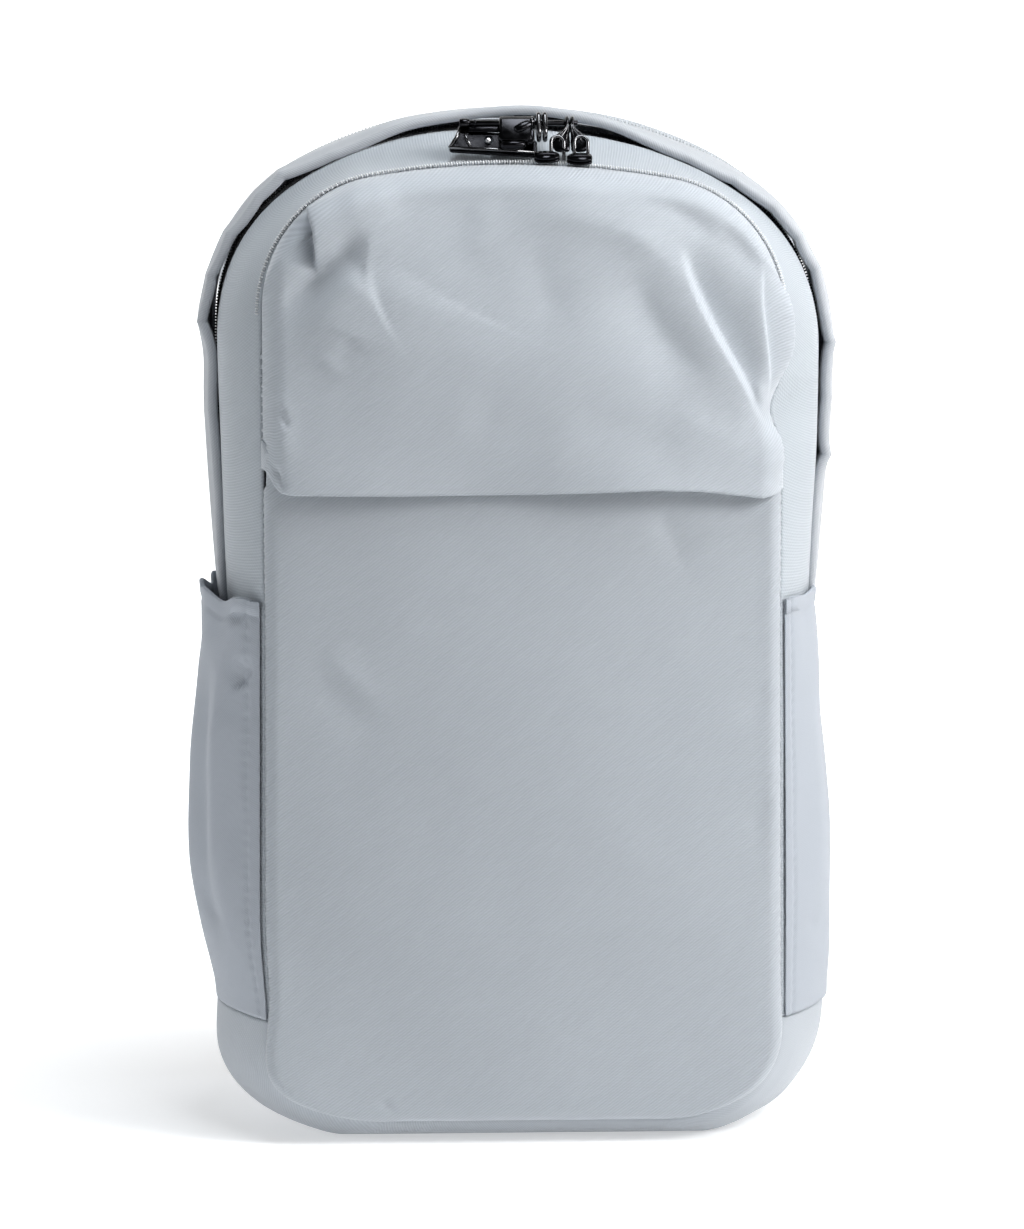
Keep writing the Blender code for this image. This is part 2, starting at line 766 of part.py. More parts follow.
def rear_zipper():
    """Pale coil of the rear compartment, over the shoulders behind the rain flap."""
    stretches = ("shoulder", "top")
    half = COIL_WIDTH / 2 + 0.001
    depths = (REAR_COIL_DEPTH - half, REAR_COIL_DEPTH, REAR_COIL_DEPTH + half)
    rises = (-0.0008, 0.0, -0.0008)
    lift = SEAM_GAP + REAR_COIL_THICKNESS + 0.0008
    rings = [
        over_the_top(grown(body_line(depth), lift + rise), stretches)
        for depth, rise in zip(depths, rises)
    ]

    def place(column, row):
        x, z = rings[row][column]
        return x, depths[row], z

    return sheet(
        "rear_zipper", len(rings[0]), len(rings), place, REAR_COIL_THICKNESS, coil_plastic(), bag
    )


# The back


def back_panel():
    """The padded panel that lies on the wearer's back and closes the body."""
    line = grown(REAR_SEAM, 0.0)
    half = half_outline(line, ("base", "corner", "lower", "upper", "shoulder", "top"))
    corners = half + [(-x, z) for x, z in reversed(half[1:-1])]
    made = plate("back_panel", corners, PAD_THICKNESS, mesh_padding(), bag)
    made.location = (0.0, REAR_DEPTH + SEAM_GAP / 2 + PAD_THICKNESS / 2, 0.0)
    return made


def back_face():
    """Depth of the back panel's outer face."""
    return REAR_DEPTH + SEAM_GAP / 2 + PAD_THICKNESS


def smooth_row(rows, place):
    """A strap row part of the way along the table, on a smooth curve through it."""
    last = len(rows) - 1
    index = min(int(place), last - 1)
    share = place - index
    p0, p1, p2, p3 = (rows[min(max(index + k, 0), last)] for k in (-1, 0, 1, 2))
    return [
        0.5 * (2 * b + (c - a) * share + (2 * a - 5 * b + 4 * c - d) * share**2
               + (3 * b - a - 3 * c + d) * share**3)
        for a, b, c, d in zip(p0, p1, p2, p3)
    ]


def shoulder_strap(name, side):
    """A padded strap that stands off the back as an arm loop."""
    rows, columns = 15, 4
    inner = back_face() + SEAM_GAP + STRAP_THICKNESS

    def place(column, row):
        across, behind, height, width = smooth_row(STRAP_ROWS, row / (rows - 1) * (len(STRAP_ROWS) - 1))
        offset = (column / (columns - 1) - 0.5) * width
        return side * (across + offset), inner + behind, height

    made = sheet(
        name, columns, rows, place, STRAP_THICKNESS, mesh_padding(), bag, flip=side < 0
    )
    edge = made.modifiers.new("Edge", "BEVEL")
    edge.width = STRAP_EDGE
    edge.segments = 1
    edge.limit_method = "ANGLE"
    edge.angle_limit = math.radians(50)
    return made


def ladder_centre():
    """Middle of the adjuster below the strap's slanted end, on the right side."""
    above, end = STRAP_ROWS[-2:]
    inner = back_face() + SEAM_GAP + STRAP_THICKNESS / 2
    slant = (above.behind - end.behind) / (above.height - end.height)
    lift = slant * (STRAP_THICKNESS - LADDER_THICKNESS) / 2
    return Vector((
        end.across, inner + end.behind, end.height + lift - SEAM_GAP - LADDER_HEIGHT / 2
    ))


def ladder_lock(name, side):
    """The adjuster: a frame with two slots, under the padded strap's end."""
    made = box(
        name, (LADDER_WIDTH, LADDER_THICKNESS, LADDER_HEIGHT), (0, 0, 0), buckle_plastic(), bag,
        bevel=0.0008,
    )
    slot_height = (LADDER_HEIGHT - 3 * LADDER_BAR) / 2
    for rise in (-1, 1):
        slot = box(
            "slot", (LADDER_WIDTH - 2 * LADDER_BAR, 3 * LADDER_THICKNESS, slot_height),
            (0, 0, rise * (slot_height + LADDER_BAR) / 2), buckle_plastic(), bag,
        )
        made = combine(made, slot, "DIFFERENCE")
    centre = ladder_centre()
    made.location = (side * centre.x, centre.y, centre.z)
    return made


def lower_webbing(name, side):
    """Webbing from the bottom corner up through the adjuster's slot, with its hanging tail."""
    centre = ladder_centre()
    anchor_x, anchor_z = ANCHOR_PLACE
    reach = LADDER_THICKNESS / 2 + SEAM_GAP + WEBBING_THICKNESS / 2
    slot = centre.z - LADDER_BAR / 2 - (LADDER_HEIGHT - 3 * LADDER_BAR) / 4
    turn = (LADDER_HEIGHT - 3 * LADDER_BAR) / 4
    start_y = back_face() + SEAM_GAP + WEBBING_THICKNESS / 2
    path = [
        (anchor_x, start_y, anchor_z),
        (anchor_x - 0.004, start_y + 0.002, anchor_z + 0.016),
        (centre.x + 0.010, centre.y - reach - 0.002, slot - 0.040),
        (centre.x, centre.y - reach, slot - 0.006),
        (centre.x, centre.y - reach, slot - turn / 2),
        (centre.x, centre.y, slot),
        (centre.x, centre.y + reach, slot - turn / 2),
        (centre.x, centre.y + reach, slot - 0.006),
        (centre.x + 0.001, centre.y + reach + 0.001, slot - 0.5 * TAIL_LENGTH),
        (centre.x + 0.003, centre.y + reach, slot - TAIL_LENGTH),
    ]

    def place(column, row):
        x, y, z = path[row]
        return side * (x + (column - 0.5) * WEBBING_WIDTH), y, z

    return sheet(
        name, 2, len(path), place, WEBBING_THICKNESS, strap_webbing(), bag, flip=side < 0,
        centred=True,
    )


def grab_handle():
    """The carrying loop at the top of the back, drooping behind the bag."""
    rows = 11
    start = back_face() + 2 * SEAM_GAP
    top = REAR_SEAM.high - HANDLE_DOWN

    def place(column, row):
        angle = math.pi * row / (rows - 1)
        arch = math.sin(angle)
        up = (column - 0.5) * HANDLE_WIDTH
        return (
            -HANDLE_HALF_SPAN * math.cos(angle),
            start + HANDLE_REACH * arch,
            top - HANDLE_DROP * arch + up * (1 - 0.15 * arch) - HANDLE_WIDTH / 2,
        )

    return sheet(
        "grab_handle", 2, rows, place, HANDLE_THICKNESS, strap_webbing(), bag, centred=True
    )


# Lock hardware


def lock_place():
    """Where the rod's left end is."""
    across, back, rise = LOCK_SET
    return across, front_depth(FRONT_SEAM.high) + back, FRONT_SEAM.high + rise


def lock_frame():
    """An empty at the rod's left end: X along the rod, Z up the plate, -Y towards the front."""
    frame = bpy.data.objects.new("lock_frame", None)
    parts.objects.link(frame)
    frame.parent = bag
    frame.location = lock_place()
    frame.rotation_euler = (-math.radians(LOCK_TILT), 0.0, 0.0)
    return frame


def arc_points(centre, radius, start, end, steps):
    """Points on an arc in the XZ plane, angles in degrees."""
    found = []
    for step in range(steps + 1):
        angle = math.radians(start + (end - start) * step / steps)
        found.append((centre[0] + radius * math.cos(angle), centre[1] + radius * math.sin(angle)))
    return found


def lock_tab():
    """The cloth tongue that holds the lock's plate to the front band."""
    rows = ((0.808, 0.0010), (0.615, 0.0014), (0.423, 0.0030), (0.285, 0.0062))
    middle = LOCK_SET[0] + 0.4 * PLATE_LENGTH

    def place(column, row):
        share, lift = rows[row]
        depth = front_depth(FRONT_SEAM.high) * (1 - share)
        return middle + (column - 0.5) * 0.45 * PLATE_LENGTH, depth, front_line(share).high + lift + CLOTH

    return sheet("lock_tab", 2, len(rows), place, CLOTH, strap_webbing(), bag)


def lock_plate(frame):
    """The base plate with a slanted left end, a post that carries the rod and a round hole."""
    foot = 0.0015
    low_left, low_right = (foot - drop for drop in PLATE_DROPS)
    end = PLATE_LENGTH - PLATE_OVERHANG
    corners = (
        arc_points((foot - PLATE_OVERHANG, low_left), foot, 180, 270, 3)
        + arc_points((end - foot, low_right), foot, 270, 360, 3)
        + [(end, -0.0090), (end - 0.0030, -0.0045)]
        + [(0.0040, -0.0032), (0.0030, ROD_RADIUS), (-0.0010, ROD_RADIUS)]
    )
    made = plate("lock_plate", corners, PLATE_THICKNESS, dark_metal(), frame, bevel=0.0003)
    made.location = (0.0, 0.0029, 0.0)
    bpy.context.view_layer.update()
    mesh = made.data
    mesh.transform(Matrix.Translation(made.location))
    made.location = (0.0, 0.0, 0.0)
    post = box("post", (0.0034, 0.0046, 0.0040), (0.0008, 0.0009, 0.0), dark_metal(), frame, 0.0004)
    made = combine(made, post, "UNION")
    hole = cylinder("hole", PLATE_HOLE_RADIUS, -0.01, 0.01, dark_metal(), frame, sides=16)
    hole.data.transform(Matrix.Rotation(math.pi / 2, 4, "Z"))
    hole.data.transform(Matrix.Translation((0.0118, 0.0, -0.0075)))
    made = combine(made, hole, "DIFFERENCE")
    socket = cylinder(
        "socket", ROD_RADIUS + ROD_CLEARANCE, 0.0010, 0.02, dark_metal(), frame, sides=12
    )
    return combine(made, socket, "DIFFERENCE")


def lock_rod(frame):
    return cylinder(
        "lock_rod", ROD_RADIUS, 0.0010 + ROD_CLEARANCE, ROD_LENGTH, dark_metal(), frame, sides=12
    )


def lock_lever(frame):
    """The catch that turns on the rod: a barrel round the rod and a rounded cheek below it."""
    high = 0.0024
    end = LEVER_START + LEVER_LENGTH
    corners = (
        arc_points((LEVER_START + 0.003, high - 0.003), 0.003, 90, 180, 3)
        + arc_points((LEVER_START + 0.003, -LEVER_DROP + 0.003), 0.003, 180, 270, 3)
        + [(end - 0.0025, -LEVER_DROP), (end - 0.0020, -LEVER_DROP + 0.0035), (end, -LEVER_DROP + 0.005)]
        + arc_points((end - 0.002, high - 0.002), 0.002, 0, 90, 2)
    )
    cheek = plate("lock_lever", corners, LEVER_THICKNESS, dark_metal(), frame, bevel=0.0006)
    cheek.data.transform(Matrix.Translation((0.0, -0.0016, 0.0)))
    barrel = cylinder("barrel", BARREL_RADIUS, LEVER_START + 0.0006, end - 0.0006, dark_metal(), frame)
    cheek = combine(cheek, barrel, "UNION")
    lip = box(
        "lip", (0.74 * LEVER_LENGTH, 0.0056, 0.0026),
        (LEVER_START + 0.36 * LEVER_LENGTH, -0.0024, 0.0014 - LEVER_DROP), dark_metal(), frame, 0.0008,
    )
    cheek = combine(cheek, lip, "UNION")
    bore = cylinder(
        "bore", ROD_RADIUS + ROD_CLEARANCE, LEVER_START - 0.01, end + 0.01, dark_metal(), frame, sides=16
    )
    return combine(cheek, bore, "DIFFERENCE")


def oval_ring(place, steps=6):
    """Middle line of an oval ring round the rod, in the plane across it."""
    rest = RING_RISE + ROD_RADIUS + ROD_CLEARANCE - (RING_BEND - RING_WIRE)
    loop = arc_points((0.0, rest), RING_BEND, 0, 180, steps)
    loop += arc_points((0.0, rest - RING_STRAIGHT), RING_BEND, 180, 360, steps)
    return [(place, y, z) for y, z in loop]


def main_pull(name, place, frame):
    """A main zip pull: the ring on the rod and the stem that runs back under the rain flap."""
    made = wire(name, oval_ring(place), RING_WIRE, dark_metal(), frame, closed=True, sides=1)
    tilt = math.radians(LOCK_TILT)
    reach = -(front_depth(FRONT_SEAM.high) + LOCK_SET[1]) - ZIP_HALF_TAPE - STEM_CLEARANCE
    reach -= STEM_BACK * math.cos(tilt) - STEM_DROP * math.sin(tilt)
    start = -STEM_THICKNESS / 3
    size = (STEM_WIDTH, reach - start, STEM_THICKNESS)
    stem = box("stem", size, (0.0, (start + reach) / 2, 0.0), dark_metal(), frame, 0.0003)
    stem.data.transform(Matrix.Rotation(math.radians(LOCK_TILT + 1.0), 4, "X"))
    stem.data.transform(Matrix.Translation((place, STEM_BACK, -STEM_DROP)))
    return combine(made, stem, "UNION")


def front_pull(name, side, frame):
    """A front zip pull: an eye on the rod, a slim neck and a foot that flares to its own side."""
    near, far = NECK_GAP / 2, NECK_GAP / 2 + 0.0022
    edge = [
        (near, 0.0026), (near, -0.0140), (0.0030, -0.0145), (0.0062, -0.0130), (0.0072, -0.0100),
        (0.0058, -0.0074), (0.0032, -0.0044), (far, -0.0020), (far, 0.0026),
    ]
    corners = [(NECK_PLACE + side * x, z) for x, z in edge[::side]]
    made = plate(name, corners, NECK_THICKNESS, dark_metal(), frame, bevel=0.0003)
    low, high = sorted((NECK_PLACE + side * near, NECK_PLACE + side * far))
    eye = cylinder("eye", 0.0027, low + 0.0001, high - 0.0001, dark_metal(), frame, sides=16)
    made = combine(made, eye, "UNION")
    bore = cylinder(
        "bore", ROD_RADIUS + ROD_CLEARANCE, low - 0.01, high + 0.01, dark_metal(), frame, sides=16
    )
    return combine(made, bore, "DIFFERENCE")


def slider(name, centre, turn, bail=True, pale=False):
    """A zip slider that rides on its coil: a rounded body, narrower at one end, with a bail on top."""
    length, width, height = SLIDER_SIZE
    half, waist = length / 2, width * 0.32
    corners = [
        (-half, -waist), (-0.2 * length, -width / 2), (half - 0.001, -width / 2), (half, -width / 2 + 0.001),
        (half, width / 2 - 0.001), (half - 0.001, width / 2), (-0.2 * length, width / 2), (-half, waist),
    ]
    finish = coil_plastic() if pale else dark_metal()
    made = plate(name, corners, height, finish, bag, bevel=0.0005)
    made.data.transform(Matrix.Rotation(-math.pi / 2, 4, "X"))
    if bail:
        loop = arc_points((0.0, height / 2 + 0.0010), 0.0026, 0, 180, 6)
        loop = [(0.0026, height / 2 - 0.0006), *loop, (-0.0026, height / 2 - 0.0006)]
        loop = [(x, 0.0, z) for x, z in loop]
        made = combine(made, wire("bail", loop, 0.0007, dark_metal(), bag, sides=1), "UNION")
    made.location = centre
    made.rotation_euler = [math.radians(angle) for angle in turn]
    return made


def zip_sliders():
    """Two sliders on the main zip, two on the front pocket's zip and one on the rear zip."""
    ride = SLIDER_SIZE[2] / 2 + SEAM_GAP
    for number, place in enumerate(RING_PLACES, 1):
        side = 2 * number - 3
        across = LOCK_SET[0] + place + side * SLIDER_SIZE[0] * 0.42
        radius = ZIP_LINE.top_radius
        height = ZIP_LINE.high - radius + math.sqrt(radius**2 - across**2)
        slump = settle(across, 0.0, height)[2] - height
        slope = math.degrees(math.asin(across / radius) - slump / max(across, 0.001))
        place = (across, 0.0, height + slump + MAIN_COIL_RISE + ride)
        slider(f"main_slider_{number}", place, (0, -side * slope, 90 + 90 * side), bail=False)
    for word, side in (("left", -1), ("right", 1)):
        across = FRONT_SLIDER_PLACE + side * (SLIDER_SIZE[0] / 2 + 0.0006)
        drop = across**2 / (2 * FRONT_SEAM.top_radius)
        depth = front_depth(FRONT_SEAM.high) - FRONT_SLIDER_FORWARD
        place = settle(across, depth, FRONT_SEAM.high + FRONT_SLIDER_RISE - drop)
        slider(f"front_slider_{word}", place, (FRONT_SLIDER_TILT * side, 0, 90 - 90 * side))
    line = grown(body_line(REAR_COIL_DEPTH), SEAM_GAP + REAR_COIL_THICKNESS + 0.0008 + ride)
    centre_x, centre_z = shoulder_centre(line)
    angle = math.radians(REAR_SLIDER_ANGLE)
    place = settle(
        centre_x + line.shoulder_radius * math.cos(angle), REAR_COIL_DEPTH,
        centre_z + line.shoulder_radius * math.sin(angle),
    )
    slider("rear_slider", place, (0, 90 - REAR_SLIDER_ANGLE, 0), bail=False, pale=True)


def build():
    front_gusset()
    main_zipper()
    rear_gusset()
    bottom_panel()
    rain_flap()
    front_wall()
    front_pocket()
    pocket_flap()
    for name, pocket in SIDE_POCKETS.items():
        side_pocket(name, pocket)
    front_zipper()
    rear_zipper()
    back_panel()
    for word, side in (("left", -1), ("right", 1)):
        shoulder_strap(f"shoulder_strap_{word}", side)
        ladder_lock(f"ladder_lock_{word}", side)
        lower_webbing(f"lower_webbing_{word}", side)
    grab_handle()
    zip_sliders()
    lock_tab()
    frame = lock_frame()
    lock_plate(frame)
    lock_rod(frame)
    lock_lever(frame)
    for number, place in enumerate(RING_PLACES, 1):
        main_pull(f"main_pull_{number}", place, frame)
    for word, side in (("left", -1), ("right", 1)):
        front_pull(f"front_pull_{word}", side, frame)


def centre_on_floor():
    """Moves the whole bag so that the middle of its box is over the origin."""
    bpy.context.view_layer.update()
    graph = bpy.context.evaluated_depsgraph_get()
    corners = [
        made.matrix_world @ Vector(corner)
        for made in parts.objects if made.type == "MESH"
        for corner in made.evaluated_get(graph).bound_box
    ]
    for axis in (0, 1):
        reach = [corner[axis] for corner in corners]
        bag.location[axis] -= (min(reach) + max(reach)) / 2


for old in list(bpy.data.objects):
    bpy.data.objects.remove(old)
parts = bpy.data.collections.new("backpack")
bpy.context.scene.collection.children.link(parts)
bag = bpy.data.objects.new("bag", None)
parts.objects.link(bag)
build()
centre_on_floor()
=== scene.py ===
"""Day backpack with a lockable top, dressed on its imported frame.

Every panel is a fine grid of cloth laid on the same outlines as the solids, with its folds pressed in.
Lengths are metres. Panels are laid out with depths from the main zip, and then moved by SHIFT, which
puts them where the frame has them.
"""
import math
from collections import namedtuple

import bmesh
import bpy
import numpy as np
from mathutils import Matrix, Vector, noise


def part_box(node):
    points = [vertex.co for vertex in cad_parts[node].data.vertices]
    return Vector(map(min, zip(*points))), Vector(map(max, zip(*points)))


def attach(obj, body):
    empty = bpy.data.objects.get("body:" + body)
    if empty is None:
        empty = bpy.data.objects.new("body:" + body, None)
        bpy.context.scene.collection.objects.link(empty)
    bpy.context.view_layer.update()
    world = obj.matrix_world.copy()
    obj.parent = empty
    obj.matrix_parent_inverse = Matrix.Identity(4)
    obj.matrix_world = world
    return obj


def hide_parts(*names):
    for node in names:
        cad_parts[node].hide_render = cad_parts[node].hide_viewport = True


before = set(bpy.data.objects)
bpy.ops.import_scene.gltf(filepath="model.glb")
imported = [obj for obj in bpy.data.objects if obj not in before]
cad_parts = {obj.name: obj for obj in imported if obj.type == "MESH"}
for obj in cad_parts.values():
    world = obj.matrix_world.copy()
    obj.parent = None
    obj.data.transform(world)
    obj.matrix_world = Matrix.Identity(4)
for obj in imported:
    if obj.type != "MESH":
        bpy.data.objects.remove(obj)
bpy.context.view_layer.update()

# Sizes shared with the solids
CLOTH, THIN_CLOTH = 0.0015, 0.0010
SEAM_GAP = 0.0003
SEAM_HEIGHT = 0.057
WAIST_HEIGHT = 0.240
FRONT_DEPTH = 0.072
FRONT_LEAN = 0.020
FRONT_EASE = 0.9
ZIP_HALF_TAPE = 0.006
REAR_DEPTH = 0.072
PAD_THICKNESS = 0.010
RAIN_ROOT_DEPTH, RAIN_EDGE_DEPTH, RAIN_CLOTH = 0.022, -0.011, 0.0026
RAIN_SIDE_LIFT, RAIN_WAIST_LIFT, RAIN_TOP_LIFT = 0.0064, 0.0045, 0.0056
RAIN_TURN, RAIN_OPEN_SPAN = 0.0020, 0.052
EDGE_ROLL, POCKET_CROWN, POCKET_TOP = 0.006, 0.009, 0.312
TONGUE_START, TONGUE_INSET = 0.3000, 0.0014
HEM_HEIGHT = 0.3005
FLAP_ROLL, FLAP_HEM_CROWN, FLAP_CROWN = 0.011, 0.012, 0.015
SIDE_POCKET_REAR, BELLY_FORWARD, POCKET_RISE = 0.048, 0.80, 0.008
REAR_COIL_DEPTH = 0.040
SLUMP, SLUMP_FLOOR = 0.0030, 0.300

# What only the cloth has: the shoulders' sag, the notch and the ear at the flap's right edge, the sinking
# beside the main zip, the front pocket's lower corners and the lower left of the bag, which is drawn in
SHOULDER_SAG, SAG_PLACE, SAG_WIDTH = 0.0036, 0.094, 0.032
NOTCH_DEPTH, NOTCH_HEIGHT, NOTCH_WIDTH = 0.0055, 0.336, 0.012
EAR_REACH, EAR_HEIGHT, EAR_WIDTH = 0.0038, 0.371, 0.017
ZIP_DIP = 0.0015
CORNER_OUT = (0.0078, 0.0034)
SQUEEZE_DEPTH, SQUEEZE_HEIGHT, SQUEEZE_WIDTH = 0.0034, 0.056, 0.028
# The share of a crease over which each of its ends dies away
CREASE_END = 0.38
# Over how much height the hood's ends go down into the side pockets
TUCK_SPAN = 0.022
REAR_SLIDER_DROP = 0.0022
# The radius of the turned hems of the hood and the flap
HEM_BEND = 0.0013

Outline = namedtuple("Outline", "flat seam waist full low high top_radius shoulder_radius")
FRONT_SEAM = Outline(0.062, 0.118, 0.117, 0.1175, 0.010, 0.446, 0.400, 0.060)
ZIP_LINE = Outline(0.100, 0.143, 0.134, 0.139, 0.000, 0.461, 0.281, 0.0895)
REAR_SEAM = Outline(0.096, 0.140, 0.134, 0.139, 0.001, 0.466, 0.275, 0.085)

Ripple = namedtuple("Ripple", "place width rise")
RAIN_RIPPLES = (
    Ripple(0.008, 0.038, 0.0046), Ripple(-0.052, 0.018, 0.0018), Ripple(0.046, 0.016, 0.0012),
    Ripple(-0.088, 0.016, -0.0008), Ripple(0.100, 0.018, -0.0008), Ripple(-0.145, 0.012, -0.0008),
    Ripple(-0.192, 0.012, 0.0016), Ripple(-0.212, 0.010, -0.0008), Ripple(0.156, 0.014, -0.0010),
    Ripple(0.225, 0.034, 0.0016), Ripple(0.262, 0.012, -0.0006),
)
# Kinks, where the rain flap's edge breaks into a corner
RAIN_KINKS = (
    Ripple(-0.088, 0.009, 0.0008), Ripple(-0.1141, 0.009, 0.0026), Ripple(-0.1296, 0.006, 0.0010),
    Ripple(-0.1533, 0.008, 0.0020), Ripple(-0.1747, 0.007, 0.0022), Ripple(-0.1961, 0.009, 0.0032),
    Ripple(-0.235, 0.012, 0.0008), Ripple(0.080, 0.008, 0.0008), Ripple(0.1046, 0.007, 0.0014),
    Ripple(0.1290, 0.006, 0.0010), Ripple(0.1486, 0.008, 0.0018), Ripple(0.1664, 0.007, 0.0020),
    Ripple(0.2031, 0.009, 0.0030), Ripple(0.2300, 0.006, 0.0008), Ripple(0.2567, 0.009, 0.0040),
)

BACK_FACE = REAR_DEPTH + SEAM_GAP / 2 + PAD_THICKNESS
pad_low, pad_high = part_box("back_panel")
SHIFT = Vector(((pad_low.x + pad_high.x) / 2, pad_high.y - BACK_FACE, 0.0))


# Camera, light and ground

# The picture's long side in pixels, and how far the frame lies off the lens's middle in them
PICTURE_SIDE, OFF_MIDDLE = 1229, (-5, -2.7)
LENS, CAMERA_PLACE, CAMERA_TARGET = 163.61, (-0.1078, -2.5724, 0.5969), (0, 0, 0.235)

Light = namedtuple("Light", "name place size power colour")
LIGHTS = (
    Light("front_key", (0.9, -1.9, 1.4), 0.8, 4, (1, 1, 1)),
    Light("near_key", (0.92, -0.66, 1.12), 0.5, 10, (1, 1, 1)),
    Light("right_key", (2.0, -0.7, 1.25), 0.8, 24, (1.0, 0.995, 0.98)),
    Light("top", (0.2, -0.3, 2.3), 0.9, 26, (0.93, 0.97, 1.0)),
    Light("left_fill", (-1.9, -0.5, 0.7), 1.2, 6.5, (0.90, 0.95, 1.0)),
)
LIGHT_TARGET = (0, -0.03, 0.27)
SKY_COLOUR, SKY_STRENGTH = (0.94, 0.97, 1.0, 1.0), 0.07

# The backdrop's half width, the depth at which it starts, its floor's length and its whole length
BACKDROP_HALF, BACKDROP_START, FLOOR_LENGTH, BACKDROP_LENGTH = 9, -9, 13.0, 19.0
# Its glow, and the depths between which that comes up, behind the bag and before it
GLOW, GLOW_SPANS = 0.95, ((-0.7, 0.9), (-3.2, -4.6))


def look(made, place, target):
    """Links a camera or lamp at a place, turned to its target."""
    made.location = place
    made.rotation_euler = (target - place).to_track_quat("-Z", "Y").to_euler()
    bpy.context.scene.collection.objects.link(made)


def set_camera():
    lens = bpy.data.cameras.new("camera")
    lens.lens = LENS
    lens.shift_x = OFF_MIDDLE[0] / PICTURE_SIDE
    lens.shift_y = OFF_MIDDLE[1] / PICTURE_SIDE
    lens.clip_end = 40
    camera = bpy.data.objects.new("camera", lens)
    look(camera, Vector(CAMERA_PLACE) + SHIFT, Vector(CAMERA_TARGET) + SHIFT)
    bpy.context.scene.camera = camera


def set_light():
    """A dim even sky and five soft lamps, the strongest above and at the right."""
    scene = bpy.context.scene
    scene.world = bpy.data.worlds.new("studio")
    scene.world.use_nodes = True
    sky = scene.world.node_tree.nodes["Background"]
    sky.inputs["Color"].default_value = SKY_COLOUR
    sky.inputs["Strength"].default_value = SKY_STRENGTH
    for light in LIGHTS:
        lamp = bpy.data.lights.new(light.name, "AREA")
        lamp.shape = "DISK"
        lamp.size, lamp.energy, lamp.color = light.size, light.power, light.colour
        look(bpy.data.objects.new(light.name, lamp), Vector(light.place), Vector(LIGHT_TARGET))
    scene.view_settings.view_transform = "Standard"


def set_ground():
    """A pale floor that curves up into the wall behind, and glows away from the bag."""
    mesh = bpy.data.meshes.new("backdrop")
    shape = bmesh.new()
    bmesh.ops.create_grid(shape, x_segments=4, y_segments=90, size=1.0)
    for vert in shape.verts:
        run = (vert.co.y + 1) / 2 * BACKDROP_LENGTH
        bend = min(max(run - FLOOR_LENGTH, 0.0), math.pi / 2)
        rest = max(run - FLOOR_LENGTH - math.pi / 2, 0.0)
        depth = BACKDROP_START + min(run, FLOOR_LENGTH) + math.sin(bend)
        vert.co = Vector((vert.co.x * BACKDROP_HALF, depth, 1 - math.cos(bend) + rest))
    shape.to_mesh(mesh)
    shape.free()
    mesh.shade_smooth()
    paper = bpy.data.materials.new("white_paper")
    paper.use_nodes = True
    shader = paper.node_tree.nodes["Principled BSDF"]
    shader.inputs["Base Color"].default_value = (0.80, 0.80, 0.80, 1)
    shader.inputs["Roughness"].default_value = 0.9
    shader.inputs["Emission Color"].default_value = (1, 1, 1, 1)
    tree = paper.node_tree
    place = tree.nodes.new("ShaderNodeSeparateXYZ")
    tree.links.new(tree.nodes.new("ShaderNodeTexCoord").outputs["Object"], place.inputs[0])
    total = tree.nodes.new("ShaderNodeMath")
    for number, (dim, full) in enumerate(GLOW_SPANS):
        glow = tree.nodes.new("ShaderNodeMapRange")
        for key, value in {"From Min": dim, "From Max": full, "To Min": 0.0, "To Max": GLOW}.items():
            glow.inputs[key].default_value = value
        tree.links.new(place.outputs["Y"], glow.inputs["Value"])
        tree.links.new(glow.outputs[0], total.inputs[number])
    tree.links.new(total.outputs[0], shader.inputs["Emission Strength"])
    mesh.materials.append(paper)
    floor = bpy.data.objects.new("backdrop", mesh)
    bpy.context.scene.collection.objects.link(floor)


# Materials


class Nodes:
    """Short helper that adds and links the nodes of one material."""

    def __init__(self, name):
        self.material = bpy.data.materials.new(name)
        self.material.use_nodes = True
        self.tree = self.material.node_tree
        self.shader = self.tree.nodes["Principled BSDF"]

    def add(self, kind, inputs=(), **settings):
        node = self.tree.nodes.new("ShaderNode" + kind)
        for key, value in settings.items():
            setattr(node, key, value)
        for key, value in dict(inputs).items():
            if isinstance(value, bpy.types.NodeSocket):
                self.tree.links.new(value, node.inputs[key])
            else:
                node.inputs[key].default_value = value
        return node

    def math(self, operation, first, second):
        return self.add("Math", {0: first, 1: second}, operation=operation).outputs[0]

    def mix(self, factor, first, second):
        node = self.add("Mix", {"Factor": factor}, data_type="RGBA")
        for key, value in ((6, first), (7, second)):
            if isinstance(value, bpy.types.NodeSocket):
                self.tree.links.new(value, node.inputs[key])
            else:
                node.inputs[key].default_value = (*value, 1.0)
        return node.outputs[2]

    def ramp(self, factor, low, high, first=0.0, last=1.0):
        return self.add(
            "MapRange", {"Value": factor, "From Min": low, "From Max": high, "To Min": first, "To Max": last}
        ).outputs[0]

    def bump(self, height, strength, distance, normal=None):
        inputs = {"Height": height, "Strength": strength, "Distance": distance}
        if normal is not None:
            inputs["Normal"] = normal
        return self.add("Bump", inputs).outputs[0]

    def set(self, **values):
        for key, value in values.items():
            socket = self.shader.inputs[key.replace("_", " ")]
            if isinstance(value, bpy.types.NodeSocket):
                self.tree.links.new(value, socket)
            else:
                socket.default_value = (*value, 1.0) if isinstance(value, tuple) else value


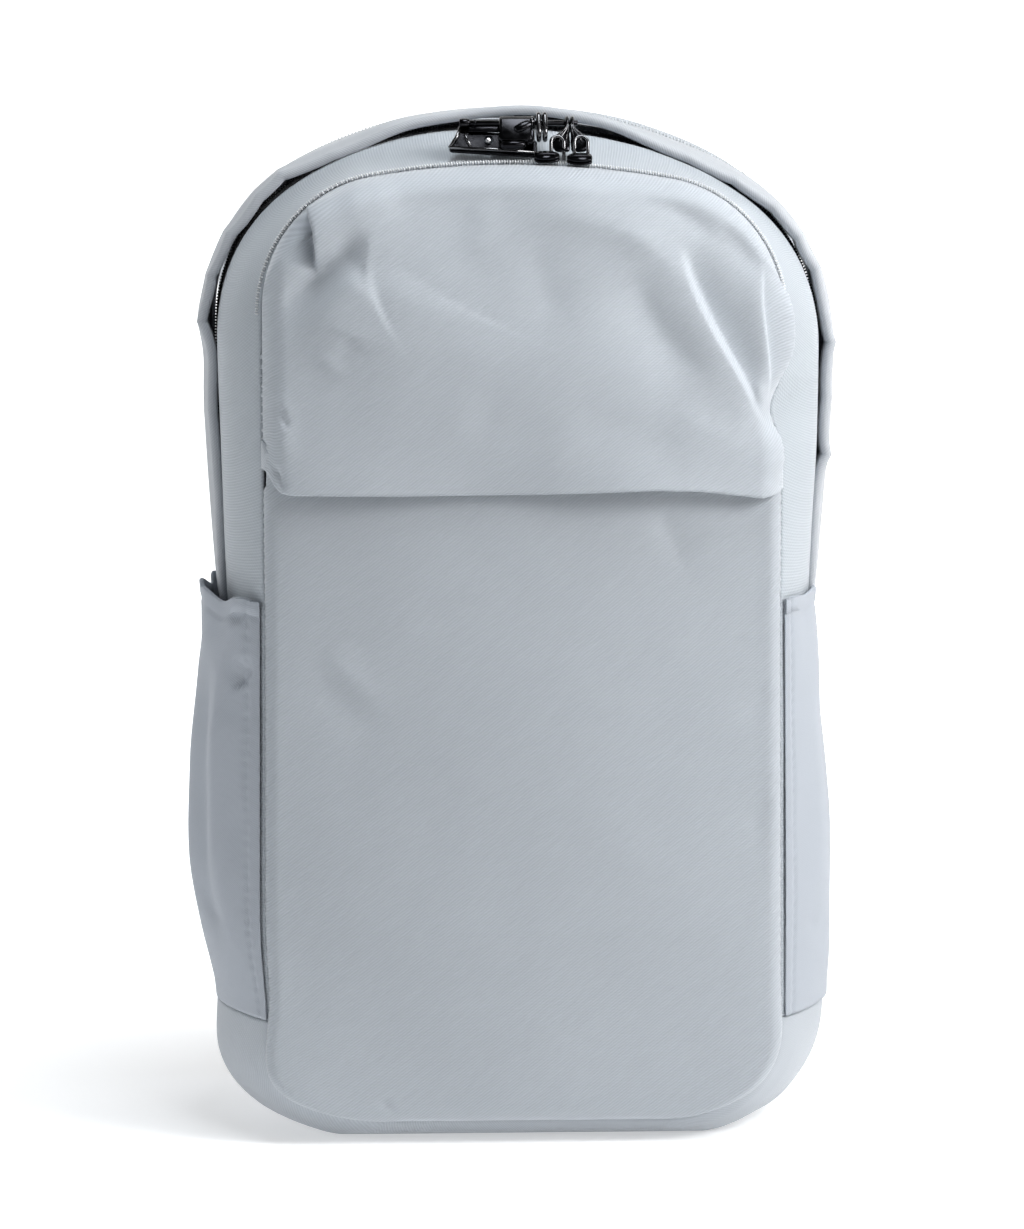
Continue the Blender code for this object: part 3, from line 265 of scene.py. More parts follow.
def woven(name, dark, light, twill=0.00115, ribs=0.0, depth=0.00016, sheen=0.25, rough=0.62, turn=52.0):
    """Woven cloth on its own cut: diagonal twill lines, or straight ribs, over fine threads."""
    made = Nodes(name)
    cut = made.add("UVMap", uv_map="weave").outputs[0]
    turned = made.add("Mapping", {"Vector": cut, "Rotation": (0, 0, math.radians(turn))}).outputs[0]
    lines = made.add(
        "TexWave", {"Vector": turned, "Scale": math.tau / 20 / twill, "Distortion": 0.25,
                    "Detail": 1.0, "Detail Scale": 0.3},
    ).outputs["Fac"]
    threads = made.add(
        "TexWave", {"Vector": cut, "Scale": math.tau / 20 / (0.62 * twill), "Distortion": 0.4},
        bands_direction="Y",
    ).outputs["Fac"]
    height = made.math("ADD", made.math("MULTIPLY", lines, 0.8), made.math("MULTIPLY", threads, 0.2))
    if ribs:
        straight = made.add(
            "TexWave", {"Vector": cut, "Scale": math.tau / 20 / ribs, "Distortion": 0.5,
                        "Detail": 1.0, "Detail Scale": 0.3},
            bands_direction="X",
        ).outputs["Fac"]
        height = made.math(
            "ADD", made.math("MULTIPLY", height, 0.35), made.math("MULTIPLY", straight, 0.65)
        )
    place = made.add("TexCoord").outputs["Object"]
    broad = made.add("TexNoise", {"Vector": place, "Scale": 9.0, "Detail": 3.0}).outputs["Fac"]
    fuzz = made.add("TexNoise", {"Vector": place, "Scale": 900.0, "Detail": 2.0}).outputs["Fac"]
    tone = made.math("ADD", made.math("MULTIPLY", height, 0.65), made.math("MULTIPLY", fuzz, 0.15))
    tone = made.math("ADD", tone, made.math("MULTIPLY", broad, 0.20))
    colour = made.mix(made.ramp(tone, 0.18, 0.78), dark, light)
    bent = made.bump(height, 0.9, depth)
    soft = made.add("TexNoise", {"Vector": place, "Scale": 55.0, "Detail": 3.0, "Roughness": 0.45})
    made.set(
        Base_Color=colour, Roughness=made.ramp(fuzz, 0.0, 1.0, rough - 0.05, rough + 0.07),
        Normal=made.bump(soft.outputs["Fac"], 0.08, 0.0008, bent),
        Sheen_Weight=sheen, Sheen_Roughness=0.45, Specular_IOR_Level=0.35,
    )
    return made.material


def air_mesh(name, dark, light):
    """Spacer mesh: small round holes over darker foam."""
    made = Nodes(name)
    place = made.add("TexCoord").outputs["Object"]
    x, y, z = made.add("SeparateXYZ", {0: place}).outputs
    lift = made.math("MULTIPLY", y, 0.4)
    flat = made.add("CombineXYZ", {0: made.math("ADD", x, lift), 1: made.math("ADD", z, lift)}).outputs[0]
    holes = made.add(
        "TexVoronoi", {"Vector": flat, "Scale": 380.0, "Randomness": 0.22}, voronoi_dimensions="2D",
    ).outputs["Distance"]
    broad = made.add("TexNoise", {"Vector": place, "Scale": 14.0, "Detail": 3.0}).outputs["Fac"]
    edge = made.ramp(holes, 0.25, 0.55)
    colour = made.mix(edge, dark, light)
    made.set(
        Base_Color=made.mix(made.math("MULTIPLY", broad, 0.25), colour, dark), Roughness=0.88,
        Normal=made.bump(edge, 0.6, 0.0005), Sheen_Weight=0.35, Sheen_Roughness=0.5,
        Specular_IOR_Level=0.25,
    )
    return made.material


def gunmetal(name, dark=(0.010, 0.010, 0.012), light=(0.034, 0.034, 0.037), smooth=0.12, rough=0.26):
    made = Nodes(name)
    place = made.add("TexCoord").outputs["Object"]
    smear = made.add("TexNoise", {"Vector": place, "Scale": 260.0, "Detail": 4.0}).outputs["Fac"]
    fine = made.add("TexNoise", {"Vector": place, "Scale": 1800.0, "Detail": 2.0}).outputs["Fac"]
    made.set(
        Base_Color=made.mix(smear, dark, light), Metallic=1.0,
        Roughness=made.ramp(smear, 0.3, 0.7, smooth, rough), Normal=made.bump(fine, 0.06, 0.0001),
    )
    return made.material


def moulded(name, dark, light, rough=0.45):
    made = Nodes(name)
    place = made.add("TexCoord").outputs["Object"]
    grain = made.add("TexNoise", {"Vector": place, "Scale": 1400.0, "Detail": 2.0}).outputs["Fac"]
    broad = made.add("TexNoise", {"Vector": place, "Scale": 40.0, "Detail": 2.0}).outputs["Fac"]
    made.set(
        Base_Color=made.mix(broad, dark, light), Roughness=made.ramp(grain, 0.0, 1.0, rough, rough + 0.15),
        Normal=made.bump(grain, 0.15, 0.0002),
    )
    return made.material


# Outlines of the body


def ramp(value, start, span):
    """From 0 at the start to 1 a span further on."""
    return np.clip((value - start) / span, 0, 1)


def bell(value, place, width):
    """1 at the place, dying away smoothly to both sides."""
    return np.exp(-(((value - place) / width) ** 2))


def front_depth(z):
    """The depth of the leaning front seam at a height."""
    return -FRONT_DEPTH + FRONT_LEAN * (np.maximum(z, 0.0) / FRONT_SEAM.high) ** 2


def between(first, second, share):
    """An outline a share of the way from the first to the second."""
    return Outline(*(a + (b - a) * share for a, b in zip(first, second)))


def grown(line, by):
    """The outline moved outwards by a distance."""
    return line._replace(
        seam=line.seam + by, waist=line.waist + by, full=line.full + by, low=line.low - by,
        high=line.high + by, top_radius=line.top_radius + by, shoulder_radius=line.shoulder_radius + by,
    )


def shoulder_centre(line):
    """The centre of the arc that joins the side to the top."""
    across = line.full - line.shoulder_radius
    down = math.sqrt((line.top_radius - line.shoulder_radius) ** 2 - across**2)
    return across, line.high - line.top_radius + down


# How many steps each stretch of an outline takes
STEPS = {"base": 40, "corner": 36, "lower": 70, "upper": 56, "shoulder": 60, "top": 64}


def half_outline(line, stretches, fine=1.0):
    """The right half of an outline from the base to the top, as an array of (x, z)."""
    centre_x, centre_z = shoulder_centre(line)
    turn = math.asin(centre_x / (line.top_radius - line.shoulder_radius))
    points = []
    for stretch in stretches:
        share = np.linspace(0, 1, max(int(STEPS[stretch] * fine), 2) + 1)[1 if len(points) else 0:]
        if stretch == "base":
            x, z = line.flat * share, line.low + 0 * share
        elif stretch == "corner":
            angle = share * math.pi / 2
            x = line.flat + (line.seam - line.flat) * np.sin(angle)
            z = SEAM_HEIGHT - (SEAM_HEIGHT - line.low) * np.cos(angle)
        elif stretch == "lower":
            x = line.seam + (line.waist - line.seam) * share
            z = SEAM_HEIGHT + (WAIST_HEIGHT - SEAM_HEIGHT) * share
        elif stretch == "upper":
            x = line.waist + (line.full - line.waist) * np.sin(math.pi / 2 * share)
            z = WAIST_HEIGHT + (centre_z - WAIST_HEIGHT) * share
        elif stretch == "shoulder":
            angle = (math.pi / 2 - turn) * share
            x = centre_x + line.shoulder_radius * np.cos(angle)
            z = centre_z + line.shoulder_radius * np.sin(angle)
        else:
            angle = turn * (1 - share)
            x = line.top_radius * np.sin(angle)
            z = line.high - line.top_radius + line.top_radius * np.cos(angle)
        points += list(zip(x, z))
    return np.array(points)


ALL = ("base", "corner", "lower", "upper", "shoulder", "top")
UPRIGHT = ("lower", "upper", "shoulder", "top")
HOOD = ("upper", "shoulder", "top")


def over_the_top(line, stretches, fine=1.0):
    """The stretches from the left side over the top to the right."""
    half = half_outline(line, stretches, fine)
    return np.concatenate([half * (-1, 1), half[-2::-1]])


def under_the_base(line, fine=1.0):
    """The base and both its corners, from left to right."""
    half = half_outline(line, ("base", "corner"), fine)
    return np.concatenate([half[::-1] * (-1, 1), half[1:]])


def width_at(line, z):
    """Half the width of the outline at a height."""
    points = half_outline(line, ALL)[STEPS["base"]:]
    return np.interp(z, points[:, 1], points[:, 0])


def front_line(share):
    """The body's outline a share of the way from the front seam to the main zip."""
    share = min(share / FRONT_EASE, 1.0)
    line = between(FRONT_SEAM, ZIP_LINE, math.sin(share * math.pi / 2) ** 0.85)
    return line._replace(high=FRONT_SEAM.high + (ZIP_LINE.high - FRONT_SEAM.high) * share**1.3)


def body_line(depth):
    """The body's outline at a depth from the main zip."""
    if depth < 0:
        return front_line(1 + depth / FRONT_DEPTH)
    return between(ZIP_LINE, REAR_SEAM, depth / REAR_DEPTH)


def settle(points):
    """Puts laid points where the frame has them: the top leans, a notch and the lower left are drawn in."""
    x, y, z = points[..., 0], points[..., 1], points[..., 2]
    near = ramp(x, 0.088, 0.030) ** 1.5 * np.clip((-0.022 - y) / 0.035, 0, 1)
    x = x - NOTCH_DEPTH * near * bell(z, NOTCH_HEIGHT, NOTCH_WIDTH)
    near = np.clip((-x - 0.080) / 0.050, 0, 1) * np.clip((0.066 - y) / 0.03, 0, 1)
    x = x + SQUEEZE_DEPTH * near * bell(z, SQUEEZE_HEIGHT, SQUEEZE_WIDTH)
    rise = np.clip((z - SLUMP_FLOOR) / (ZIP_LINE.high - SLUMP_FLOOR), 0, None)
    depth = np.where(y < 0, (y + FRONT_DEPTH) / FRONT_DEPTH, 1 - y / REAR_DEPTH)
    across = np.sin(math.pi / 2 * np.clip(x / (0.8 * ZIP_LINE.full), -1, 1))
    lean = SLUMP * across * np.clip(depth, 0, None) * np.sin(math.pi / 2 * np.clip(rise * 1.5, 0, 1)) ** 2
    return np.stack([x, y, z - lean - shoulder_sag(x, y, z)], axis=-1) + np.array(SHIFT)


def shoulder_sag(x, y, z):
    """How far the soft shoulders behind the front panel hang below their outline."""
    sag = SHOULDER_SAG * bell(np.abs(x), SAG_PLACE, SAG_WIDTH)
    return sag * ramp(y, -0.045, 0.035) * ramp(z, 0.385, 0.03)


def rolled(distance, radius):
    """How far a rounded edge has risen at a distance from its rim."""
    share = np.clip(distance / radius, 0, 1)
    return radius * np.sqrt(1 - (1 - share) ** 2)


# Making cloth


def normals_of(points):
    """Outward direction at each point of a laid grid."""
    across = np.gradient(points, axis=1)
    up = np.gradient(points, axis=0)
    found = np.cross(across, up)
    size = np.linalg.norm(found, axis=-1, keepdims=True)
    return found / np.maximum(size, 1e-12)


def pressed(points, rise):
    """The grid with each point moved outwards by its rise."""
    return points + normals_of(points) * rise[..., None]


def cut_of(points):
    """Lengths along the middle row and the middle column, as the cloth was cut."""
    rows, columns = points.shape[:2]
    across = np.linalg.norm(np.diff(points[rows // 2], axis=0), axis=1)
    up = np.linalg.norm(np.diff(points[:, columns // 2], axis=0), axis=1)
    s = np.concatenate([[0], np.cumsum(across)])
    t = np.concatenate([[0], np.cumsum(up)])
    return np.stack(np.meshgrid(s, t), axis=-1)


def soft_noise(points, size, seed):
    """Smooth unevenness of about the given size, from -1 to 1."""
    flat = points.reshape(-1, 3) / size
    found = [noise.noise(Vector(p) + Vector((seed, 0.37 * seed, 0))) for p in flat]
    return np.array(found).reshape(points.shape[:-1])


def place_object(name, mesh, finish, body="bag"):
    """Links a mesh as a visible piece that rides a body."""
    mesh.materials.clear()
    mesh.materials.append(finish)
    made = bpy.data.objects.new(name, mesh)
    bpy.context.scene.collection.objects.link(made)
    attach(made, body)
    return made


def lay(name, points, finish, thickness=0.0011, cut=None, nodes=(), flip=False, leaned=False):
    """A sheet of cloth through a grid of points, with the cut it was sewn from as its UV map."""
    rows, columns = points.shape[:2]
    cut = cut_of(points) if cut is None else cut
    placed = points + np.array(SHIFT) if leaned else settle(points)
    mesh = bpy.data.meshes.new(name)
    shape = bmesh.new()
    bmesh.ops.create_grid(shape, x_segments=columns - 1, y_segments=rows - 1, size=1.0)
    where = {}
    for vert in shape.verts:
        column = round((vert.co.x + 1) / 2 * (columns - 1))
        row = round((vert.co.y + 1) / 2 * (rows - 1))
        where[vert.index] = (row, column)
        vert.co = placed[row, column]
    layer = shape.loops.layers.uv.new("weave")
    for face in shape.faces:
        for loop in face.loops:
            loop[layer].uv = cut[where[loop.vert.index]]
    if flip:
        bmesh.ops.reverse_faces(shape, faces=shape.faces)
    shape.to_mesh(mesh)
    shape.free()
    mesh.shade_smooth()
    made = place_object(name, mesh, finish)
    if thickness:
        wall = made.modifiers.new("Wall", "SOLIDIFY")
        wall.thickness = thickness
        wall.offset = -1.0
    if nodes:
        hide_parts(*nodes)


# A crease's three points, its rise and its widths are millimetres
Crease = namedtuple("Crease", "start middle end rise left right")
CREASE_STEPS = 18


def crease_rise(x, z, creases):
    """Sum of the pressed creases at places x, z: each runs on a bend through three points.

    Left and right are the widths to its sides, as seen on a crease that runs down the panel.
    """
    total = np.zeros_like(x)
    for crease in creases:
        a, b, c = (np.array(p) / 1000 for p in (crease.start, crease.middle, crease.end))
        best = np.full_like(x, 1e9)
        side = np.ones_like(x)
        along = np.zeros_like(x)
        shares = np.linspace(0, 1, CREASE_STEPS + 1)
        path = [a * (1 - s) ** 2 + (4 * b - a - c) * s * (1 - s) + c * s**2 for s in shares]
        for index, (p, q) in enumerate(zip(path, path[1:])):
            run = q - p
            t = ((x - p[0]) * run[0] + (z - p[1]) * run[1]) / (run @ run)
            near = np.clip(t, 0, 1)
            dx, dz = x - p[0] - near * run[0], z - p[1] - near * run[1]
            distance = np.hypot(dx, dz)
            closer = distance < best
            best = np.where(closer, distance, best)
            side = np.where(closer, np.sign(run[0] * dz - run[1] * dx), side)
            along = np.where(closer, (index + near) / CREASE_STEPS, along)
        width = np.where(side > 0, crease.right, crease.left) / 1000
        ends = np.clip(np.minimum(along, 1 - along) / CREASE_END, 0, 1)
        ends = ends**2 * (3 - 2 * ends)
        total += crease.rise / 1000 * np.exp(-((best / width) ** 1.7)) * ends
    return total


def puckers(place, distance, pitch=0.0046, rise=0.00022, reach=0.0022):
    """Small dents that stitches pull in along a seam."""
    return rise * np.sin(math.tau * place / pitch) * np.exp(-((distance / reach) ** 2))


# The panels


def front_band(cloth):
    """The side and top band between the front seam and the main zip."""
    rear = -ZIP_HALF_TAPE - SEAM_GAP / 2
    rows = []
    for share in np.concatenate([np.linspace(0, 0.12, 5)[:-1], np.linspace(0.12, 1, 16)]):
        line = front_line(share)
        ring = over_the_top(line._replace(seam=line.seam - SEAM_GAP), UPRIGHT)
        depth = front_depth(ring[:, 1])
        rows.append(np.column_stack([ring[:, 0], depth + (rear - depth) * share, ring[:, 1]]))
    points = np.array(rows)
    top = ramp(points[..., 2], 0.425, 0.03)
    middle = np.sin(math.pi * ramp(points[..., 1], -0.07, 0.064))
    rise = soft_noise(points * (1, 0.5, 0.6), 0.016, 3.0) * 0.0011 * top * middle
    rise += soft_noise(points, 0.055, 8.0) * 0.0012 * middle
    rise -= zip_dip(points) * ramp(points[..., 1], -0.045, 0.039) ** 2
    lay("front_band", pressed(points, rise), cloth, nodes=["front_gusset"])


def band_rows(depths):
    """Rings of the body at the depths, as the rows of a band's grid."""
    rows = []
    for depth in depths:
        line = body_line(max(depth, 0.0))
        ring = over_the_top(line._replace(seam=line.seam - SEAM_GAP), UPRIGHT)
        rows.append(np.column_stack([ring[:, 0], np.full(len(ring), depth), ring[:, 1]]))
    return np.array(rows)


def zip_dip(points):
    """How far the cloth sinks beside the main zip, above the side pockets."""
    return ZIP_DIP * ramp(points[..., 2], 0.25, 0.04)


def zip_tape(cloth):
    """The main zip's dark tape, seen in the gap under the hood; its near-black also paints the shade in that
    gap.
    """
    points = band_rows(np.linspace(-ZIP_HALF_TAPE + SEAM_GAP / 2, ZIP_HALF_TAPE - SEAM_GAP / 2, 9))
    dip = zip_dip(points) * np.clip((0.006 - points[..., 1]) / 0.012, 0, 1)
    lay("main_zip_tape", pressed(points, -dip), cloth, nodes=["main_zipper"])


# Teeth are made in runs, because the operators are quick on small meshes only
TEETH_RUN = 30


def teeth(name, path, aside, pitch, size, finish, nodes=(), stagger=0.0):
    """A zip coil: small rounded teeth set across a line, each turned along it."""
    gaps = np.linalg.norm(np.diff(path, axis=0), axis=1)
    length = np.concatenate([[0], np.cumsum(gaps)])
    count = int(length[-1] / pitch)
    whole = bmesh.new()
    for first in range(0, count, TEETH_RUN):
        numbers = range(first, min(first + TEETH_RUN, count))
        run = tooth_run(path, aside, length, pitch, size, stagger, numbers)
        whole.from_mesh(run)
        bpy.data.meshes.remove(run)
    mesh = bpy.data.meshes.new(name)
    bmesh.ops.recalc_face_normals(whole, faces=whole.faces)
    whole.to_mesh(mesh)
    whole.free()
    mesh.shade_smooth()
    made = place_object(name, mesh, finish)
    if nodes:
        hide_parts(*nodes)


def tooth_run(path, aside, length, pitch, size, stagger, numbers):
    """The mesh of a short run of teeth."""
    shape = bmesh.new()
    for index in numbers:
        at = (index + 0.5) * pitch
        centre = Vector([np.interp(at, length, path[:, axis]) for axis in range(3)])
        ahead = Vector([np.interp(at + 0.001, length, path[:, axis]) for axis in range(3)])
        along = (ahead - centre).normalized() if ahead != centre else Vector((1, 0, 0))
        across = Vector([np.interp(at, length, aside[:, axis]) for axis in range(3)]).normalized()
        up = across.cross(along).normalized()
        turn = Matrix((across * size[0], along * size[1], up * size[2])).transposed().to_4x4()
        offset = across * stagger * (1 if index % 2 else -1)
        bmesh.ops.create_uvsphere(
            shape, u_segments=6, v_segments=4, radius=0.5,
            matrix=Matrix.Translation(centre + offset) @ turn,
        )
    mesh = bpy.data.meshes.new("run")
    shape.to_mesh(mesh)
    shape.free()
    return mesh


def ring_path(line, depth, stretches, fine=1.0):
    """An outline at a depth, settled, with the direction across it."""
    ring = over_the_top(line, stretches, fine)
    y = depth(ring[:, 1]) if callable(depth) else np.full(len(ring), depth)
    flat = np.column_stack([ring[:, 0], y, ring[:, 1]])
    return settle(flat), np.tile((0.0, 1.0, 0.0), (len(ring), 1))


def coils(coil, pale_coil, shade_dark_coil):
    """The coils of the main, the front and the rear zip."""
    path, aside = ring_path(grown(ZIP_LINE, 0.0001), 0.0, UPRIGHT)
    # the main coil is near-black: a dark zip whose darkness also paints the shade in the gap under the hood
    teeth("main_zip_coil", path, aside, 0.0014, (0.0052, 0.0010, 0.0016), shade_dark_coil,
          stagger=0.0003)

    line = grown(front_line(0.022), 0.0009)
    path, aside = ring_path(line, lambda z: front_depth(z) * 0.972, ("shoulder", "top"))
    sink = np.clip(np.minimum(np.arange(len(path)), np.arange(len(path))[::-1]) / 40, 0, 1)
    path = path + (0, 0.0012, -0.0012) * (1 - sink)[:, None]
    teeth("front_zip_coil", path, aside, 0.0012, (0.0046, 0.00095, 0.0022), pale_coil,
          nodes=["front_zipper"], stagger=0.0003)

    line = grown(body_line(REAR_COIL_DEPTH), 0.0022)
    path, aside = ring_path(line, REAR_COIL_DEPTH, ("shoulder", "top"))
    teeth("rear_zip_coil", path, aside, 0.0017, (0.0050, 0.0011, 0.0028), coil,
          nodes=["rear_zipper"], stagger=0.0004)


def rear_band(cloth):
    """The side and top band between the main zip and the back panel."""
    points = band_rows(np.linspace(ZIP_HALF_TAPE + SEAM_GAP / 2, REAR_DEPTH - SEAM_GAP / 2, 22))
    middle = np.sin(math.pi * ramp(points[..., 1], 0.006, 0.066))
    rise = soft_noise(points, 0.05, 5.0) * 0.0012 * middle
    lay("rear_band", pressed(points, rise), cloth, nodes=["rear_gusset"])


def base(cloth):
    """The trough that the bag stands on, with its rounded front lip."""
    shares = np.concatenate([
        np.linspace(0, 0.11, 10)[:-1], np.linspace(0.11, 0.88, 20)[:-1], np.linspace(0.88, 1, 6),
    ])
    lows = np.interp(shares, (0, 0.035, 0.11, 0.965, 1.0), (0.010, 0.004, 0.0, 0.0, 0.001))
    rows = []
    for share, low in zip(shares, lows):
        depth = -FRONT_DEPTH + (FRONT_DEPTH + REAR_DEPTH) * share
        ring = under_the_base(body_line(depth)._replace(low=low), 1.3)
        z = np.minimum(ring[:, 1], SEAM_HEIGHT - SEAM_GAP)
        front = front_depth(z) + FRONT_DEPTH
        rows.append(np.column_stack([ring[:, 0], depth + front * (1 - share) - SEAM_GAP / 2 * share, z]))
    points = np.array(rows)
    side = ramp(np.abs(points[..., 0]), 0.06, 0.05)
    middle = np.sin(math.pi * shares)[:, None]
    rise = soft_noise(points, 0.03, 11.0) * 0.0016 * side * middle
    corner = np.exp(-(((points[..., 0] + 0.128) / 0.030) ** 2) - ((points[..., 2] - 0.036) / 0.022) ** 2)
    rise += 0.0026 * corner * np.sin(math.pi * np.clip(shares * 1.15, 0, 1))[:, None] ** 0.5
    points = pressed(points, -rise)
    points[..., 2] = np.maximum(points[..., 2], 0.0003)
    lay("base_panel", points, cloth, nodes=["bottom_panel"], flip=True)


def rain_hood(cloth):
    """The hood over the main zip: a soft band with a turned hem that stands off the body."""
    root = 3 * SEAM_GAP + RAIN_CLOTH
    bend = HEM_BEND
    # each layer: the share from the sewn root to the edge, how far ahead of that, and how much lower
    layers = [(0.0, 0.0016, 0.0004 - root), (0.0, 0.0004, 0.0008 - 0.6 * root)]
    layers += [(share, 0.0, 0.0) for share in np.linspace(0, 1, 16)]
    layers += [(1.0, -bend * math.sin(a), bend * (math.cos(a) - 1)) for a in np.linspace(0.3, math.pi, 7)]
    layers += [(1.0, back, -2 * bend - 0.0002) for back in (0.004, 0.008, 0.012)]
    rows = []
    for share, ahead, drop in layers:
        depth = RAIN_ROOT_DEPTH + (RAIN_EDGE_DEPTH + bend - RAIN_ROOT_DEPTH) * share + ahead
        line = body_line(max(depth, 0.0))
        swell = share**0.8
        ring = over_the_top(line._replace(
            waist=line.waist + root + (RAIN_WAIST_LIFT - root) * swell,
            full=line.full + root + (RAIN_SIDE_LIFT - root) * swell,
            high=line.high + root + (RAIN_TOP_LIFT - root) * swell,
        ), HOOD, 1.6)
        steps = np.linalg.norm(np.diff(ring, axis=0), axis=1)
        place = np.concatenate([[0], np.cumsum(steps)]) - steps.sum() / 2
        run = np.gradient(ring, axis=0)
        run /= np.linalg.norm(run, axis=1, keepdims=True)
        rise = sum(r.rise * np.exp(-((place - r.place) / r.width) ** 2) for r in RAIN_RIPPLES) * share
        kinks = sum(k.rise * np.exp(-np.abs(place - k.place) / k.width) for k in RAIN_KINKS)
        rise = rise + (kinks - 0.0014) * share**3
        ends = ramp(ring[:, 1], WAIST_HEIGHT, RAIN_OPEN_SPAN)
        turn = RAIN_TURN * (1 - np.exp(-((place / RAIN_OPEN_SPAN) ** 4))) * ends
        rise = rise - turn * ramp(share, 0.75, 0.25) + drop
        tucked = 1 - ramp(ring[:, 1], WAIST_HEIGHT, TUCK_SPAN)
        rise = rise - (RAIN_WAIST_LIFT - root) * swell * tucked**2
        rows.append(np.column_stack([
            ring[:, 0] - run[:, 1] * rise, np.full(len(ring), depth), ring[:, 1] + run[:, 0] * rise,
        ]))
    points = np.array(rows)
    lay("rain_hood", points, cloth, thickness=THIN_CLOTH, nodes=["rain_flap"])


POCKET_CREASES = (
    Crease((59, 296), (66, 280), (76, 262), -1.1, 6, 8),
    Crease((-92, 232), (-78, 216), (-58, 196), 0.7, 9, 6),
    Crease((-100, 222), (-82, 204), (-62, 188), -0.5, 8, 8),
    Crease((100, 145), (108, 152), (116, 158), -0.7, 4, 4),
    Crease((96, 196), (106, 202), (115, 208), -0.5, 5, 5),
    Crease((-66, 22), (-62, 18), (-59, 14), -0.6, 2.5, 2.5),
    Crease((30, 250), (20, 180), (26, 90), 0.5, 40, 40),
)


def pocket_front(cloth):
    """The lower front panel, open at its top under the flap."""
    columns = 190
    heights = np.concatenate([
        np.array([0, 0.0004, 0.0010, 0.0019, 0.003, 0.0045]), np.linspace(0.006, POCKET_TOP - 0.010, 190),
    ])
    across = np.sin(math.pi / 2 * np.linspace(-1, 1, columns)) * 0.5 + np.linspace(-1, 1, columns) * 0.5
    across, rise = np.meshgrid(across, heights)
    z = FRONT_SEAM.low + rise
    half = width_at(FRONT_SEAM, z)
    inset = TONGUE_INSET * ramp(z, TONGUE_START, 0.003)
    x = (half - inset) * across
    to_side = half - np.abs(x)
    side = rolled(to_side, EDGE_ROLL) / EDGE_ROLL
    foot = rolled(rise, EDGE_ROLL) / EDGE_ROLL
    crown = POCKET_CROWN * (1 - (x / FRONT_SEAM.full) ** 2) * np.minimum(1.0, rise / 0.09) ** 0.7
    y = front_depth(z) - SEAM_GAP - (EDGE_ROLL + crown) * side * foot
    corner = np.exp(-(((np.abs(x) - 0.106) / 0.026) ** 2) - ((z - 0.028) / 0.024) ** 2)
    corner *= np.where(x < 0, -CORNER_OUT[0], CORNER_OUT[1])
    points = np.stack([x + corner, y, z - 0.3 * np.abs(corner)], axis=-1)
    fade = np.clip(to_side / 0.012, 0, 1) * np.clip(rise / 0.012, 0, 1)
    bumps = crease_rise(x, z, POCKET_CREASES) * np.clip(to_side / 0.004, 0, 1)
    bumps += soft_noise(points * (1, 0, 1), 0.075, 2.0) * 0.0011 * fade
    bumps += soft_noise(points * (1, 0, 1), 0.022, 4.0) * 0.00022 * fade
    bumps += puckers(z, to_side) * (z > 0.06)
    lay(
        "pocket_front", pressed(points, bumps), cloth, thickness=CLOTH,
        cut=np.stack([x, z], axis=-1), nodes=["front_pocket"],
    )


FLAP_CREASES = (
    # the gather at the upper left: a hollow with a sharp right wall, and the ridge beyond it
    Crease((-100.5, 432), (-95.6, 416), (-94.8, 398), -7.5, 9.0, 1.0),
    Crease((-97.5, 434), (-93.8, 418), (-92.8, 396), 4.6, 1.0, 24),
    Crease((-110.0, 412), (-103.0, 424.0), (-93.2, 426.0), 2.6, 1.6, 2.6),
    Crease((-68, 411), (-88, 403), (-118, 368), -6.0, 5.5, 9.0),
    Crease((-66, 399), (-82, 388), (-100, 356), 2.4, 8, 20),
    Crease((-52, 432), (-70, 428), (-84, 430), 1.4, 9, 9),
    Crease((-54, 402), (-62, 380), (-66, 345), 1.4, 30, 40),
    Crease((-76, 372), (-80, 364), (-88, 356), -1.2, 8, 7),
    Crease((-92, 372), (-84, 362), (-84, 348), 0.8, 8, 8),
    Crease((-111, 341), (-108.5, 334), (-105.5, 328), -1.3, 1.8, 2.2),
    Crease((-113, 350), (-108, 330), (-112, 308), 1.0, 5, 5),
    Crease((-111, 312), (-110, 305), (-106, 300), -1.4, 2.2, 2.2),
    # the diagonal crease at the right: a slow rise, a sharp crest and the valley beside it
    Crease((68, 414), (83, 374), (116, 322), 3.6, 14, 2.2),
    Crease((73, 412), (87, 376), (118, 326), -4.2, 2.2, 11),
    Crease((48, 404), (60, 374), (86, 346), -2.6, 14, 9),
    Crease((36, 421), (60, 406), (73, 390), 1.6, 10, 8),
    # the ear that folds out past the seam
    Crease((107.5, 404), (107.0, 374), (114.5, 337), 2.0, 7, 1.3),
    Crease((109.8, 402), (109.6, 374), (116.0, 338), -1.9, 1.3, 5),
    Crease((115.5, 400), (118, 372), (114.5, 341), 4.6, 3.4, 8),
    Crease((104, 352), (109, 344), (114, 336), 1.0, 3, 3),
    Crease((114, 333), (119, 318), (117, 303), 2.4, 9, 8),
    # soft waves under the top seam and over the middle
    Crease((0, 439), (58, 432), (94, 405), -2.0, 7, 7),
    Crease((-10, 428), (40, 419), (80, 402), 1.4, 9, 9),
    Crease((84, 420), (98, 410), (104, 396), -1.2, 7, 5),
    Crease((20, 352), (45, 326), (85, 312), -1.2, 16, 12),
    Crease((60, 340), (85, 326), (108, 318), 1.0, 12, 8),
    Crease((0, 420), (8, 395), (18, 372), -1.0, 10, 12),
    Crease((-22, 438), (-19, 420), (-26, 400), 0.9, 9, 9),
    Crease((-30, 340), (-10, 330), (20, 322), -0.8, 14, 14),
)
